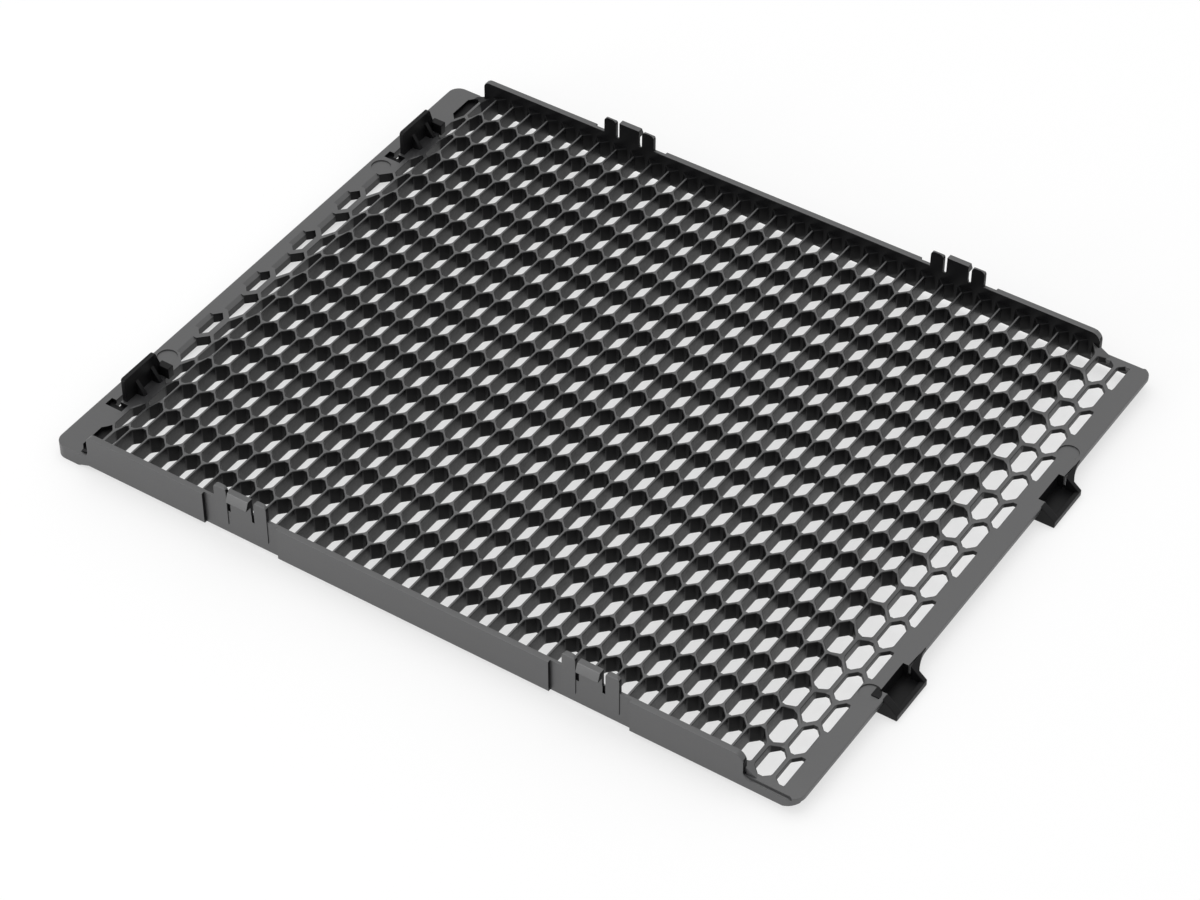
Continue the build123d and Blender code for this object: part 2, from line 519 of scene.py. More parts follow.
@dataclass(frozen=True)
class Layout:
    """Sizes that more than one part of the guard shares."""

    left_edge: float = -156.8
    right_edge: float = 151.2
    side_face: float = 123.5
    corner_radius: float = 4.6
    wall_thickness: float = 2.6
    wall_left: float = -141.2
    wall_right: float = 130.2
    wall_bottom: float = 1.9
    foot_slope: float = 5.0
    grille_left: float = -145.6
    grille_right: float = 144.0
    grille_top: float = 12.0
    grille_bottom: float = 5.0
    flange_top: float = 7.2
    clip_rail_top: float = 5.8
    cell_pitch: float = 8.0
    row_pitch: float = 14.178
    tip: float = 4.08
    rib: float = 0.95
    clip_centres: Span = (-82.4, 87.2)
    overlap: float = 0.6
    clear: float = 40.0

    @property
    def side_inner_face(self) -> float:
        """Distance from the middle to a side wall's inner face."""
        return self.side_face - self.wall_thickness

    def clip_places(self) -> list[Place]:
        """Places of the spring clips along the clip rail."""
        return [(0.0, centre, 0.0) for centre in self.clip_centres]

    def plan(self) -> bpy.types.Object:
        """Make a tall prism on the guard's rounded plan, used to trim parts."""
        corners = [
            (self.left_edge, -self.side_face, self.corner_radius),
            (self.right_edge, -self.side_face, self.corner_radius),
            (self.right_edge, self.side_face, self.corner_radius),
            (self.left_edge, self.side_face, self.corner_radius),
        ]
        return prism("plan", Axis.Z, rounded(corners), -self.clear, self.clear)


@dataclass
class SubAssembly:
    """A region of the moulding, with what every region needs to dress its meshes."""

    layout: Layout
    materials: dict[FinishOrShade, bpy.types.Material]

    def dress(self, part: bpy.types.Object, finish: FinishOrShade | None = None) -> bpy.types.Object:
        """Give a part the guard's materials.

        Args:
            part: Part to dress.
            finish: Finish or painted shade of all its faces. Without one they keep what their tree painted.

        Returns:
            The same part.
        """
        kinds = {material: kind for kind, material in self.materials.items()}
        painted = [kinds.get(material) for material in part.data.materials]
        chosen = [finish or painted[face.material_index] for face in part.data.polygons]
        part.data.materials.clear()
        for kind in FinishOrShade:
            part.data.materials.append(self.materials[kind])
        for face, kind in zip(part.data.polygons, chosen):
            face.material_index = kind.value
        LOG.info("%s: %d faces", part.name, len(part.data.polygons))
        return part

    def paint_shade(self, part: bpy.types.Object, is_dark: Callable[[Vector], bool]) -> bpy.types.Object:
        """Paint shade on some faces of a dressed part, with the darkest copy of the plastic.

        Args:
            part: Part to change.
            is_dark: Tells from the direction that a face looks in whether it gets painted shade.

        Returns:
            The same part.
        """
        for face in part.data.polygons:
            if is_dark(face.normal):
                face.material_index = FinishOrShade.DEEP_BLACK.value
        return part


@dataclass
class HoneycombGrille(SubAssembly):
    """The floor of the tray: staggered rows of long hexagonal cells, made by Geometry Nodes."""

    corner_radius: float = 1.1
    corner_steps: int = 1
    edge_round: float = 0.2
    draft: float = 0.34
    parting: float = 6.3
    columns: int = 38
    rows: int = 19
    first_column: float = -145.4
    left: float = -144.9
    right: float = 143.8
    side: float = 121.4
    # Distance from the middle past which the grille's faces get painted shade beside the side walls.
    wall_shade_strip: float = 117.0
    flange_margin: float = 1.2
    overlap_x: float = 1.2
    overlap_y: float = 0.6
    smallest_opening: float = 3.6
    hook_slope_start: float = 126.8
    hook_slope_end: float = 133.0
    clip_slope_start: float = -133.6
    clip_slope_end: float = -143.6
    clip_end_bottom: float = 1.4
    hex_corners: int = 6
    tube_segments: int = 3
    tube_end: float = 0.9
    outer_share: float = 0.98
    lone_face: float = 1.5
    merge_distance: float = 0.004
    build: TreeBuilder = field(init=False)

    def __post_init__(self) -> None:
        """Build the geometry tree."""
        names = [
            "Cell Pitch",
            "Row Pitch",
            "Tip",
            "Rib",
            "Corner Radius",
            "Edge Round",
            "Draft",
            "Parting",
            "Top",
            "Bottom",
            "First Column",
            "Left",
            "Right",
            "Side",
            "Wall Strip",
            "Flange Margin",
            "Overlap X",
            "Overlap Y",
            "Smallest Opening",
            "Hook Slope Start",
            "Hook Slope End",
            "Hook Drop",
            "Clip Slope Start",
            "Clip Slope End",
            "Clip Drop",
            "Clip Bottom Drop",
            "Merge Distance",
        ]
        sockets = [(name, "NodeSocketFloat") for name in names]
        sockets += [(name, "NodeSocketInt") for name in ("Corner Steps", "Columns", "Rows")]
        tone_inputs = ("Rib Material", "Side Material", "End Material")
        sockets += [(name, "NodeSocketMaterial") for name in tone_inputs]
        self.build = geometry_tree("honeycomb_grille", sockets)
        ends = self.build.inputs
        cells = self.trim(self.lattice(self.cell(), self.plug()))
        closed = self.build.whole(self.close_edges(cells))
        # The rib tops keep the plain plastic; the cell walls get a darker copy, and the cell ends and the
        # strips along the side walls the darkest, as painted shade.
        painted = self.build.paint(closed, ends["Rib Material"])
        painted = self.build.paint(painted, ends["Side Material"], self.build.named("lining", "BOOLEAN"))
        self.build.finish(self.build.paint(painted, ends["End Material"], self.shaded_faces()))

    def half_pitch(self) -> Socket:
        """Half the distance between two cells of a row."""
        return self.build.math("MULTIPLY", self.build.inputs["Cell Pitch"], 0.5)

    def slope(self) -> Socket:
        """Rise of a cell's pointed end over its run."""
        return self.build.math("DIVIDE", self.build.inputs["Tip"], self.half_pitch())

    def half_rib(self) -> Socket:
        """Half a rib's width, which is the reach of a cell's outermost outline."""
        return self.build.math("MULTIPLY", self.build.inputs["Rib"], 0.5)

    def half_width(self, reach: Value) -> Socket:
        """Half a cell outline's width, for an outline that reaches so far past the opening."""
        build = self.build
        opening = build.math("SUBTRACT", self.half_pitch(), self.half_rib())
        return build.math("ADD", opening, reach)

    def steepness(self) -> Socket:
        """How much further a pointed end moves than its slanted edges do."""
        build = self.build
        return build.math("SQRT", build.math("ADD", build.math("POWER", self.slope(), 2.0), 1.0))

    def half_length(self, reach: Value) -> Socket:
        """Half a cell outline's length from point to point, for a reach past the opening."""
        build = self.build
        whole = build.math("ADD", build.inputs["Row Pitch"], build.inputs["Tip"])
        inside = build.math("SUBTRACT", self.half_rib(), reach)
        shorter = build.math("MULTIPLY", inside, self.steepness())
        return build.math("SUBTRACT", build.math("MULTIPLY", whole, 0.5), shorter)

    def outline(self, reach: Value, is_rounded: bool) -> Socket:
        """Draw a long hexagon as a closed curve.

        Args:
            reach: How far it lies outside the opening.
            is_rounded: Whether its corners are rounded.

        Returns:
            The curve.
        """
        build = self.build
        feeds = {"Vertices": self.hex_corners, "Radius": 1.0}
        ring = build.node("GeometryNodeMeshCircle", feeds, fill_type="NONE")
        along, across, _ = build.split(build.node("GeometryNodeInputPosition").outputs["Position"])
        width = self.half_width(reach)
        rise = build.math("MULTIPLY", self.slope(), width)
        shoulder = build.math("SUBTRACT", self.half_length(reach), rise)
        x = build.math("MULTIPLY", across, build.math("DIVIDE", width, math.sin(math.pi / 3)))
        step = build.math("SUBTRACT", build.math("MULTIPLY", build.math("ABSOLUTE", along), 2.0), 1.0)
        height = build.math("MULTIPLY_ADD", step, rise, shoulder)
        y = build.math("MULTIPLY", build.math("SIGN", along), height)
        placed = build.move(ring.outputs["Mesh"], build.vector(x, y, 0.0))
        curve = build.node("GeometryNodeMeshToCurve", {"Mesh": placed}).outputs["Curve"]
        if not is_rounded:
            return curve
        radius = build.math("ADD", build.inputs["Corner Radius"], reach)
        feeds = {
            "Curve": curve,
            "Count": build.inputs["Corner Steps"],
            "Radius": radius,
            "Limit Radius": True,
        }
        return build.node("GeometryNodeFilletCurve", feeds, mode="POLY").outputs["Curve"]

    def sheet(self, outlines: Sequence[Socket], level: Value, inner_reach: Value) -> Socket:
        """Fill the space between outlines with faces at one height.

        Args:
            outlines: The outermost outline, and the rim inside it if there is one.
            level: Height of the sheet.
            inner_reach: Reach of the points that aren't on the outermost outline.

        Returns:
            The sheet, with the reach of every point kept on it.
        """
        build = self.build
        feeds = {"Curve": build.join(*outlines)}
        filled = build.node("GeometryNodeFillCurve", feeds, mode="TRIANGLES").outputs["Mesh"]
        x, y, _ = build.split(build.node("GeometryNodeInputPosition").outputs["Position"])
        near = build.inputs["Merge Distance"]
        wide = build.math("SUBTRACT", self.half_pitch(), near)
        long = build.math("SUBTRACT", self.half_length(self.half_rib()), near)
        is_wide = build.compare("GREATER_THAN", build.math("ABSOLUTE", x), wide)
        is_long = build.compare("GREATER_THAN", build.math("ABSOLUTE", y), long)
        reach = build.switch("FLOAT", build.either(is_wide, is_long), inner_reach, self.half_rib())
        kept = build.store(filled, "reach", "FLOAT", reach)
        return build.move(kept, build.vector(x, y, level))

    def liner(self) -> Socket:
        """Make the wall of one opening: a rounded rim, then two drafts that meet at the parting line.

        Returns:
            The wall, with the reach of every point kept on it.
        """
        build = self.build
        ends = build.inputs
        drafted = build.math("MULTIPLY", ends["Draft"], -1.0)
        reaches = (ends["Edge Round"], 0.0, drafted)
        loops = [self.outline(reach, True) for reach in reaches]
        count = build.node("GeometryNodeAttributeDomainSize", {"Geometry": loops[0]}, component="CURVE")
        around = count.outputs["Point Count"]
        feeds = {"Vertices": around, "Side Segments": self.tube_segments, "Radius": 1.0, "Depth": 2.0}
        tube = build.node("GeometryNodeMeshCylinder", feeds, fill_type="NONE").outputs["Mesh"]
        position = build.node("GeometryNodeInputPosition").outputs["Position"]
        height = build.split(position)[2]
        index = build.node("GeometryNodeInputIndex").outputs["Index"]
        corner = build.math("MODULO", index, around)
        places = []
        for loop in loops:
            feeds = {"Geometry": loop, "Value": position, "Index": corner}
            sample = build.node("GeometryNodeSampleIndex", feeds, data_type="FLOAT_VECTOR", domain="POINT")
            places.append(sample.outputs["Value"])
        is_rim = build.compare("GREATER_THAN", height, self.tube_end)
        is_upper = build.compare("GREATER_THAN", height, 0.0)
        is_floor = build.compare("LESS_THAN", height, -self.tube_end)
        below_rim = build.math("SUBTRACT", ends["Top"], ends["Edge Round"])
        straight = build.either(is_upper, is_floor)
        place = build.switch("VECTOR", straight, places[2], places[1])
        place = build.switch("VECTOR", is_rim, place, places[0])
        inner_reach = build.switch("FLOAT", straight, drafted, 0.0)
        reach = build.switch("FLOAT", is_rim, inner_reach, ends["Edge Round"])
        lower_level = build.switch("FLOAT", is_floor, ends["Parting"], ends["Bottom"])
        level = build.switch("FLOAT", is_upper, lower_level, below_rim)
        level = build.switch("FLOAT", is_rim, level, ends["Top"])
        x, y, _ = build.split(place)
        kept = build.store(tube, "reach", "FLOAT", reach)
        feeds = {"Geometry": kept, "Name": "lining", "Value": True}
        lined = build.node("GeometryNodeStoreNamedAttribute", feeds, data_type="BOOLEAN", domain="FACE")
        return build.move(lined.outputs["Geometry"], build.vector(x, y, level))

    def cell(self) -> Socket:
        """Make one open cell with its share of the ribs around it."""
        build = self.build
        ends = build.inputs
        outermost = self.outline(self.half_rib(), False)
        rim = self.outline(ends["Edge Round"], True)
        top = self.sheet((outermost, rim), ends["Top"], ends["Edge Round"])
        bottom = self.sheet((outermost, self.outline(0.0, True)), ends["Bottom"], 0.0)
        under = build.node("GeometryNodeFlipFaces", {"Mesh": bottom}).outputs["Mesh"]
        return self.with_home(build.join(top, under, self.liner()))

    def plug(self) -> Socket:
        """Make one closed cell, for the places where an opening would be too small."""
        build = self.build
        outermost = (self.outline(self.half_rib(), False),)
        top = self.sheet(outermost, build.inputs["Top"], self.half_rib())
        bottom = self.sheet(outermost, build.inputs["Bottom"], self.half_rib())
        under = build.node("GeometryNodeFlipFaces", {"Mesh": bottom}).outputs["Mesh"]
        return self.with_home(build.join(top, under))

    def with_home(self, shape: Socket) -> Socket:
        """Keep every point's place within its own cell."""
        build = self.build
        position = build.node("GeometryNodeInputPosition").outputs["Position"]
        return build.store(shape, "home", "FLOAT_VECTOR", position)

    def lattice(self, cell: Socket, plug: Socket) -> Socket:
        """Lay cells in staggered rows, with plugs at the edges.

        Args:
            cell: One open cell.
            plug: One closed cell.

        Returns:
            All cells as one mesh.
        """
        build = self.build
        ends = build.inputs
        across = build.math("MULTIPLY", build.math("SUBTRACT", ends["Columns"], 1.0), ends["Cell Pitch"])
        along = build.math("MULTIPLY", build.math("SUBTRACT", ends["Rows"], 1.0), ends["Row Pitch"])
        feeds = {
            "Size X": across,
            "Size Y": along,
            "Vertices X": ends["Columns"],
            "Vertices Y": ends["Rows"],
        }
        grid = build.node("GeometryNodeMeshGrid", feeds).outputs["Mesh"]
        x, y, _ = build.split(build.node("GeometryNodeInputPosition").outputs["Position"])
        row = build.math("ABSOLUTE", build.math("ROUND", build.math("DIVIDE", y, ends["Row Pitch"])))
        shift = build.math("MULTIPLY", build.math("MODULO", row, 2.0), self.half_pitch())
        centre = build.math("ADD", ends["First Column"], build.math("MULTIPLY", across, 0.5))
        staggered = build.math("SUBTRACT", build.math("ADD", x, centre), shift)
        points = build.move(grid, build.vector(staggered, y, 0.0))
        here, along_here, _ = build.split(build.node("GeometryNodeInputPosition").outputs["Position"])
        row_here = build.math("DIVIDE", along_here, ends["Row Pitch"])
        width = self.half_width(0.0)
        opening_end = build.math("MINIMUM", build.math("ADD", here, width), ends["Right"])
        opening_start = build.math("MAXIMUM", build.math("SUBTRACT", here, width), ends["Left"])
        opening = build.math("SUBTRACT", opening_end, opening_start)
        is_small = build.compare("LESS_THAN", opening, ends["Smallest Opening"])
        last_row = build.math("SUBTRACT", build.math("MULTIPLY", ends["Rows"], 0.5), 1.0)
        is_last = build.compare("GREATER_THAN", build.math("ABSOLUTE", row_here), last_row)
        cell_start = build.math("SUBTRACT", here, self.half_pitch())
        cell_end = build.math("ADD", here, self.half_pitch())
        last_start = build.math("ADD", ends["Right"], ends["Overlap X"])
        first_end = build.math("SUBTRACT", ends["Left"], ends["Overlap X"])
        is_past = build.compare("GREATER_THAN", cell_start, last_start)
        is_before = build.compare("LESS_THAN", cell_end, first_end)
        feeds = {"Geometry": points, "Selection": build.either(is_past, is_before)}
        kept = build.node("GeometryNodeDeleteGeometry", feeds, domain="POINT", mode="ALL")
        kinds = build.node("GeometryNodeGeometryToInstance")
        build.tree.links.new(plug, kinds.inputs["Geometry"])
        build.tree.links.new(cell, kinds.inputs["Geometry"])
        feeds = {
            "Points": kept.outputs["Geometry"],
            "Instance": kinds.outputs["Instances"],
            "Pick Instance": True,
            "Instance Index": build.either(is_small, is_last),
        }
        laid = build.node("GeometryNodeInstanceOnPoints", feeds).outputs["Instances"]
        return build.whole(laid)

    def clip_ramp(self, x: Socket) -> Socket:
        """Share of the slope at the clip end that lies behind a place, from 0 to 1."""
        ends = self.build.inputs
        feeds = {"Value": x, "From Min": ends["Clip Slope Start"], "From Max": ends["Clip Slope End"]}
        return self.build.node("ShaderNodeMapRange", feeds, clamp=True).outputs["Result"]

    def trim(self, cells: Socket) -> Socket:
        """Cut cells off at the walls and rails, and slope both ends down to the rails.

        Args:
            cells: All cells as one mesh.

        Returns:
            The fitted mesh.
        """
        build = self.build
        ends = build.inputs
        x, y, z = build.split(build.node("GeometryNodeInputPosition").outputs["Position"])
        home_x, home_y, _ = build.split(build.named("home", "FLOAT_VECTOR"))
        reach = build.named("reach", "FLOAT")
        outer_reach = build.math("MULTIPLY", self.half_rib(), self.outer_share)
        is_outer = build.compare("GREATER_THAN", reach, outer_reach)
        reach_x = build.switch("FLOAT", is_outer, reach, ends["Overlap X"])
        reach_y = build.switch("FLOAT", is_outer, reach, ends["Overlap Y"])
        feeds = {"Value": x, "From Min": ends["Hook Slope Start"], "From Max": ends["Hook Slope End"]}
        hook_ramp = build.node("ShaderNodeMapRange", feeds, clamp=True).outputs["Result"]
        clip_ramp = self.clip_ramp(x)
        ramp = build.math("ADD", hook_ramp, clip_ramp)
        feeds = {"Value": z, "From Min": ends["Parting"], "From Max": ends["Top"]}
        above = build.node("ShaderNodeMapRange", feeds, clamp=True).outputs["Result"]
        shrink = build.math("MULTIPLY", build.math("MULTIPLY", ramp, above), ends["Draft"])
        shrink = build.switch("FLOAT", is_outer, shrink, 0.0)
        narrow = build.math("DIVIDE", shrink, self.half_width(reach))
        pull = build.math("MULTIPLY", shrink, self.steepness())
        shorten = build.math("DIVIDE", pull, self.half_length(reach))
        centre_x = build.math("SUBTRACT", x, home_x)
        centre_y = build.math("SUBTRACT", y, home_y)
        drawn_x = build.math("MULTIPLY_ADD", home_x, build.math("SUBTRACT", 1.0, narrow), centre_x)
        drawn_y = build.math("MULTIPLY", home_y, build.math("SUBTRACT", 1.0, shorten))
        new_x = build.math("MAXIMUM", drawn_x, build.math("SUBTRACT", ends["Left"], reach_x))
        new_x = build.math("MINIMUM", new_x, build.math("ADD", ends["Right"], reach_x))
        aside = build.math("ABSOLUTE", build.math("SUBTRACT", new_x, centre_x))
        fall = build.math("MULTIPLY", self.slope(), aside)
        limit = build.math("SUBTRACT", self.half_length(reach), fall)
        length = build.math("MINIMUM", build.math("ABSOLUTE", drawn_y), limit)
        inner_y = build.math("MULTIPLY_ADD", build.math("SIGN", home_y), length, centre_y)
        new_y = build.switch("FLOAT", is_outer, inner_y, y)
        flange_margin = build.math("MULTIPLY", hook_ramp, ends["Flange Margin"])
        margin = build.switch("FLOAT", is_outer, flange_margin, 0.0)
        side = build.math("SUBTRACT", build.math("ADD", ends["Side"], reach_y), margin)
        new_y = build.math("MINIMUM", new_y, side)
        new_y = build.math("MAXIMUM", new_y, build.math("MULTIPLY", side, -1.0))
        height = build.math("SUBTRACT", z, ends["Bottom"])
        share = build.math("DIVIDE", height, build.math("SUBTRACT", ends["Top"], ends["Bottom"]))
        hook_drop = build.math("MULTIPLY", build.math("MULTIPLY", hook_ramp, ends["Hook Drop"]), share)
        more = build.math("SUBTRACT", ends["Clip Drop"], ends["Clip Bottom Drop"])
        clip_drop = build.math("MULTIPLY_ADD", more, share, ends["Clip Bottom Drop"])
        drop = build.math("MULTIPLY_ADD", clip_ramp, clip_drop, hook_drop)
        return build.move(cells, build.vector(new_x, new_y, build.math("SUBTRACT", z, drop)))

    def shaded_faces(self) -> Socket:
        """Tell the faces that get painted shade, the walls at a cell's pointed ends and the strip along
        both side walls, from the rest.
        """
        build = self.build
        along = build.split(build.node("GeometryNodeInputNormal").outputs["Normal"])[1]
        slanted = build.compare("GREATER_THAN", build.math("ABSOLUTE", along), END_SLANT)
        is_end = build.both(slanted, build.named("lining", "BOOLEAN"))
        x, y, _ = build.split(build.node("GeometryNodeInputPosition").outputs["Position"])
        in_wall_shade = build.compare("GREATER_THAN", build.math("ABSOLUTE", y), build.inputs["Wall Strip"])
        beside_wall = build.compare("LESS_THAN", x, build.inputs["Hook Slope Start"])
        return build.either(is_end, build.both(in_wall_shade, beside_wall))

    def weld(self, geometry: Socket) -> Socket:
        """Merge points that lie on each other."""
        feeds = {"Geometry": geometry, "Distance": self.build.inputs["Merge Distance"]}
        return self.build.node("GeometryNodeMergeByDistance", feeds).outputs["Geometry"]

    def close_edges(self, field_mesh: Socket) -> Socket:
        """Close the outer rim of the fitted cells, so that the mesh is one solid.

        Args:
            field_mesh: The fitted mesh, open at its rim.

        Returns:
            The closed mesh.
        """
        build = self.build
        ends = build.inputs
        welded = self.weld(field_mesh)
        faces = build.node("GeometryNodeInputMeshEdgeNeighbors").outputs["Face Count"]
        z = build.split(build.node("GeometryNodeInputPosition").outputs["Position"])[2]
        is_rim = build.compare("LESS_THAN", faces, self.lone_face)
        above = build.math("ADD", ends["Bottom"], ends["Edge Round"])
        is_top = build.compare("GREATER_THAN", z, above)
        feeds = {
            "Mesh": welded,
            "Selection": build.both(is_rim, is_top),
            "Offset": build.vector(0.0, 0.0, -1.0),
            "Offset Scale": ends["Edge Round"],
        }
        drawn = build.node("GeometryNodeExtrudeMesh", feeds, mode="EDGES")
        x, y, _ = build.split(build.node("GeometryNodeInputPosition").outputs["Position"])
        lowered = build.math("MULTIPLY", self.clip_ramp(x), ends["Clip Bottom Drop"])
        bottom = build.math("SUBTRACT", ends["Bottom"], lowered)
        feeds = {
            "Geometry": drawn.outputs["Mesh"],
            "Selection": drawn.outputs["Top"],
            "Position": build.vector(x, y, bottom),
        }
        walls = build.node("GeometryNodeSetPosition", feeds).outputs["Geometry"]
        return self.weld(walls)

    def make(self) -> bpy.types.Object:
        """Make the grille as a closed mesh, which its tree has painted.

        Returns:
            The grille.
        """
        layout = self.layout
        lengths = {
            "Cell Pitch": layout.cell_pitch,
            "Row Pitch": layout.row_pitch,
            "Tip": layout.tip,
            "Rib": layout.rib,
            "Corner Radius": self.corner_radius,
            "Edge Round": self.edge_round,
            "Draft": self.draft,
            "Parting": self.parting,
            "Top": layout.grille_top,
            "Bottom": layout.grille_bottom,
            "First Column": self.first_column,
            "Left": self.left,
            "Right": self.right,
            "Side": self.side,
            "Wall Strip": self.wall_shade_strip,
            "Flange Margin": self.flange_margin,
            "Overlap X": self.overlap_x,
            "Overlap Y": self.overlap_y,
            "Smallest Opening": self.smallest_opening,
            "Hook Slope Start": self.hook_slope_start,
            "Hook Slope End": self.hook_slope_end,
            "Hook Drop": layout.grille_top - layout.flange_top,
            "Clip Slope Start": self.clip_slope_start,
            "Clip Slope End": self.clip_slope_end,
            "Clip Drop": layout.grille_top - layout.clip_rail_top,
            "Clip Bottom Drop": layout.grille_bottom - self.clip_end_bottom,
            "Merge Distance": self.merge_distance,
        }
        values: dict[str, object] = {name: length * MM for name, length in lengths.items()}
        values |= {
            "Corner Steps": self.corner_steps,
            "Columns": self.columns,
            "Rows": self.rows,
            "Rib Material": self.materials[FinishOrShade.GRAINED],
            # Cell walls get a darker copy and the shaded faces the darkest copy of the plastic, as painted
            # shade.
            "Side Material": self.materials[FinishOrShade.CORE_SIDE],
            "End Material": self.materials[FinishOrShade.DEEP_BLACK],
        }
        return self.dress(clean(self.build.run("honeycomb_grille", values), self.merge_distance))


@dataclass
class SideWall(SubAssembly):
    """A long wall with its low rim at the hook end, recesses and snap prongs."""

    copies: CopyRow
    top: float = 16.0
    left_round: float = 2.6
    right_round: float = 3.8
    left_fillet: float = 3.0
    right_fillet: float = 2.4
    rim_top: float = 6.2
    rim_lift: float = 6.0
    rim_end: float = 4.8
    edge_soft: float = 0.4
    prong_centres: Span = (-73.4, 70.6)
    prong_lean: float = 0.1
    recess_width: float = 32.0
    recess_depth: float = 1.3
    finger_width: float = 5.4
    finger_proud: float = 0.3
    finger_thickness: float = 1.5
    finger_foot: float = 5.8
    finger_top: float = 23.0
    finger_bevel: float = 0.8
    finger_round: float = 1.9
    tongue_width: float = 9.0
    tongue_top: float = 22.6
    tongue_top_depth: float = 2.4
    barb_reach: float = 1.3
    barb_bottom: float = 19.1
    slit: float = 1.4
    slit_depth: float = 0.6
    tail_width: float = 1.2
    tail_length: float = 3.0
    tail_depth: float = 0.7
    undercut_depth: float = 1.0
    # Facing past which a wall face gets painted shade.
    square_slope: float = 0.9
    prong_soft: float = 0.22

    def band(self) -> bpy.types.Object:
        """Make the wall's plain body, trimmed to the guard's rounded corner."""
        layout = self.layout
        start = layout.wall_left - layout.foot_slope
        corners = [
            (start, 0.0, 0.0),
            (layout.wall_left, layout.wall_bottom, 0.0),
            (layout.right_edge - self.rim_lift, layout.wall_bottom, 0.0),
            (layout.right_edge, self.rim_end, 0.0),
            (layout.right_edge, self.rim_top, 0.0),
            (layout.wall_right, self.rim_top, self.right_fillet),
            (layout.wall_right, self.top, self.right_round),
            (layout.wall_left, self.top, self.left_round),
            (layout.wall_left, layout.clip_rail_top, self.left_fillet),
            (start, layout.clip_rail_top, 0.0),
        ]
        band = prism("side_wall", Axis.Y, rounded(corners), -layout.side_face, -layout.side_inner_face)
        return soften(combine(band, layout.plan(), Combine.KEEP_COMMON), self.edge_soft)

    def places(self) -> list[Place]:
        """Places of the prong groups along the wall."""
        return [(centre, 0.0, 0.0) for centre in self.prong_centres]

    def recesses(self) -> bpy.types.Object:
        """Make the shapes that set the wall back around the prongs and free each tongue."""
        layout = self.layout
        half = self.recess_width / 2
        outside = -layout.side_face - layout.overlap
        set_back = -layout.side_face + self.recess_depth
        cut = block("recess", (-half, half), (outside, set_back), (-layout.overlap, layout.clear))
        offset = (self.tongue_width + self.slit) / 2
        floor = self.top - self.slit_depth
        for side in (-offset, offset):
            span = (side - self.slit / 2, side + self.slit / 2)
            across = (outside, -layout.side_inner_face + layout.overlap)
            combine(cut, block("slit", span, across, (floor, layout.clear)), Combine.JOIN)
        return self.copies.lay(cut, self.places())

    def section(self, name: str, profile: Outline, width: float) -> bpy.types.Object:
        """Draw a prong's section out along the wall, around the frame's middle.

        Args:
            name: Name of the prong.
            profile: Points as distance out from the wall's inner face against height.
            width: Width of the prong along the wall.

        Returns:
            The prong.
        """
        outline = [(-self.layout.side_inner_face - out, height) for out, height in profile]
        return prism(name, Axis.X, outline, -width / 2, width / 2)

    def tongue(self) -> bpy.types.Object:
        """Make one tongue: a leaning stem and a barb with a flat top, a ramp and a catch face."""
        face = self.layout.wall_thickness - self.recess_depth
        foot = self.top - self.slit_depth - self.layout.overlap
        barb_lean = self.prong_lean * (self.barb_bottom - self.top) / (self.tongue_top - self.top)
        profile = [
            (0.0, foot),
            (face, foot),
            (face, self.top),
            (face + barb_lean, self.barb_bottom),
            (self.layout.wall_thickness + self.barb_reach, self.barb_bottom),
            (self.prong_lean + self.tongue_top_depth, self.tongue_top),
            (self.prong_lean, self.tongue_top),
            (0.0, self.top),
        ]
        return soften(self.section("snap_prongs", profile, self.tongue_width), self.prong_soft)

    def finger(self) -> bpy.types.Object:
        """Make one finger, which leans out above the wall and has a round top."""
        root = self.layout.wall_thickness - self.recess_depth + self.finger_proud
        tip = self.prong_lean + self.finger_thickness
        profile = [
            (0.0, self.finger_foot),
            (root, self.finger_foot),
            (root, self.top),
            (tip, self.finger_top - self.finger_bevel),
            (tip - self.finger_bevel, self.finger_top),
            (self.prong_lean, self.finger_top),
            (0.0, self.top),
        ]
        half = self.finger_width / 2
        corners = [
            (-half, 0.0, 0.0),
            (half, 0.0, 0.0),
            (half, self.finger_top, self.finger_round),
            (-half, self.finger_top, self.finger_round),
        ]
        finger = self.section("finger", profile, self.finger_width)
        outside = -self.layout.side_face - half
        inside = -self.layout.side_face + half + root
        front_view = prism("front_view", Axis.Y, rounded(corners), outside, inside)
        return soften(combine(finger, front_view, Combine.KEEP_COMMON), self.prong_soft)

    def prongs(self) -> bpy.types.Object:
        """Make all prong groups of one wall: two stiff fingers beside a barbed tongue."""
        offset = self.tongue_width / 2 + self.slit + self.finger_width / 2
        group = self.tongue()
        fingers = self.copies.lay(self.finger(), [(-offset, 0.0, 0.0), (offset, 0.0, 0.0)])
        return self.copies.lay(combine(group, fingers, Combine.JOIN), self.places())

    def tails(self) -> bpy.types.Object:
        """Make cutters for the shallow grooves that run on below the slits beside each tongue, with painted
        shade on their faces.
        """
        layout = self.layout
        outside = -layout.side_face - layout.overlap
        floor = -layout.side_face + self.recess_depth + self.tail_depth
        top = self.top - self.slit_depth
        half = self.tail_width / 2
        height = (top - self.tail_length, top + layout.overlap)
        tail = block("tail", (-half, half), (outside, floor), height)
        offset = (self.tongue_width + self.slit) / 2
        pair = self.copies.lay(tail, [(-offset, 0.0, 0.0), (offset, 0.0, 0.0)])
        return self.dress(self.copies.lay(pair, self.places()), FinishOrShade.DEEP_BLACK)

    def undercut(self) -> bpy.types.Object:
        """Make a cutter that thins the wall's lower edge from the inside, below the grille."""
        layout = self.layout
        inner = -layout.side_inner_face
        slope = self.undercut_depth / (layout.grille_bottom - layout.wall_bottom)
        low = -layout.overlap
        profile = [
            (inner + layout.overlap * slope, layout.grille_bottom + layout.overlap),
            (inner - slope * (layout.grille_bottom - low), low),
            (inner + layout.overlap, low),
            (inner + layout.overlap, layout.grille_bottom + layout.overlap),
        ]
        return prism("undercut", Axis.X, profile, layout.wall_left, layout.right_edge - self.rim_lift)

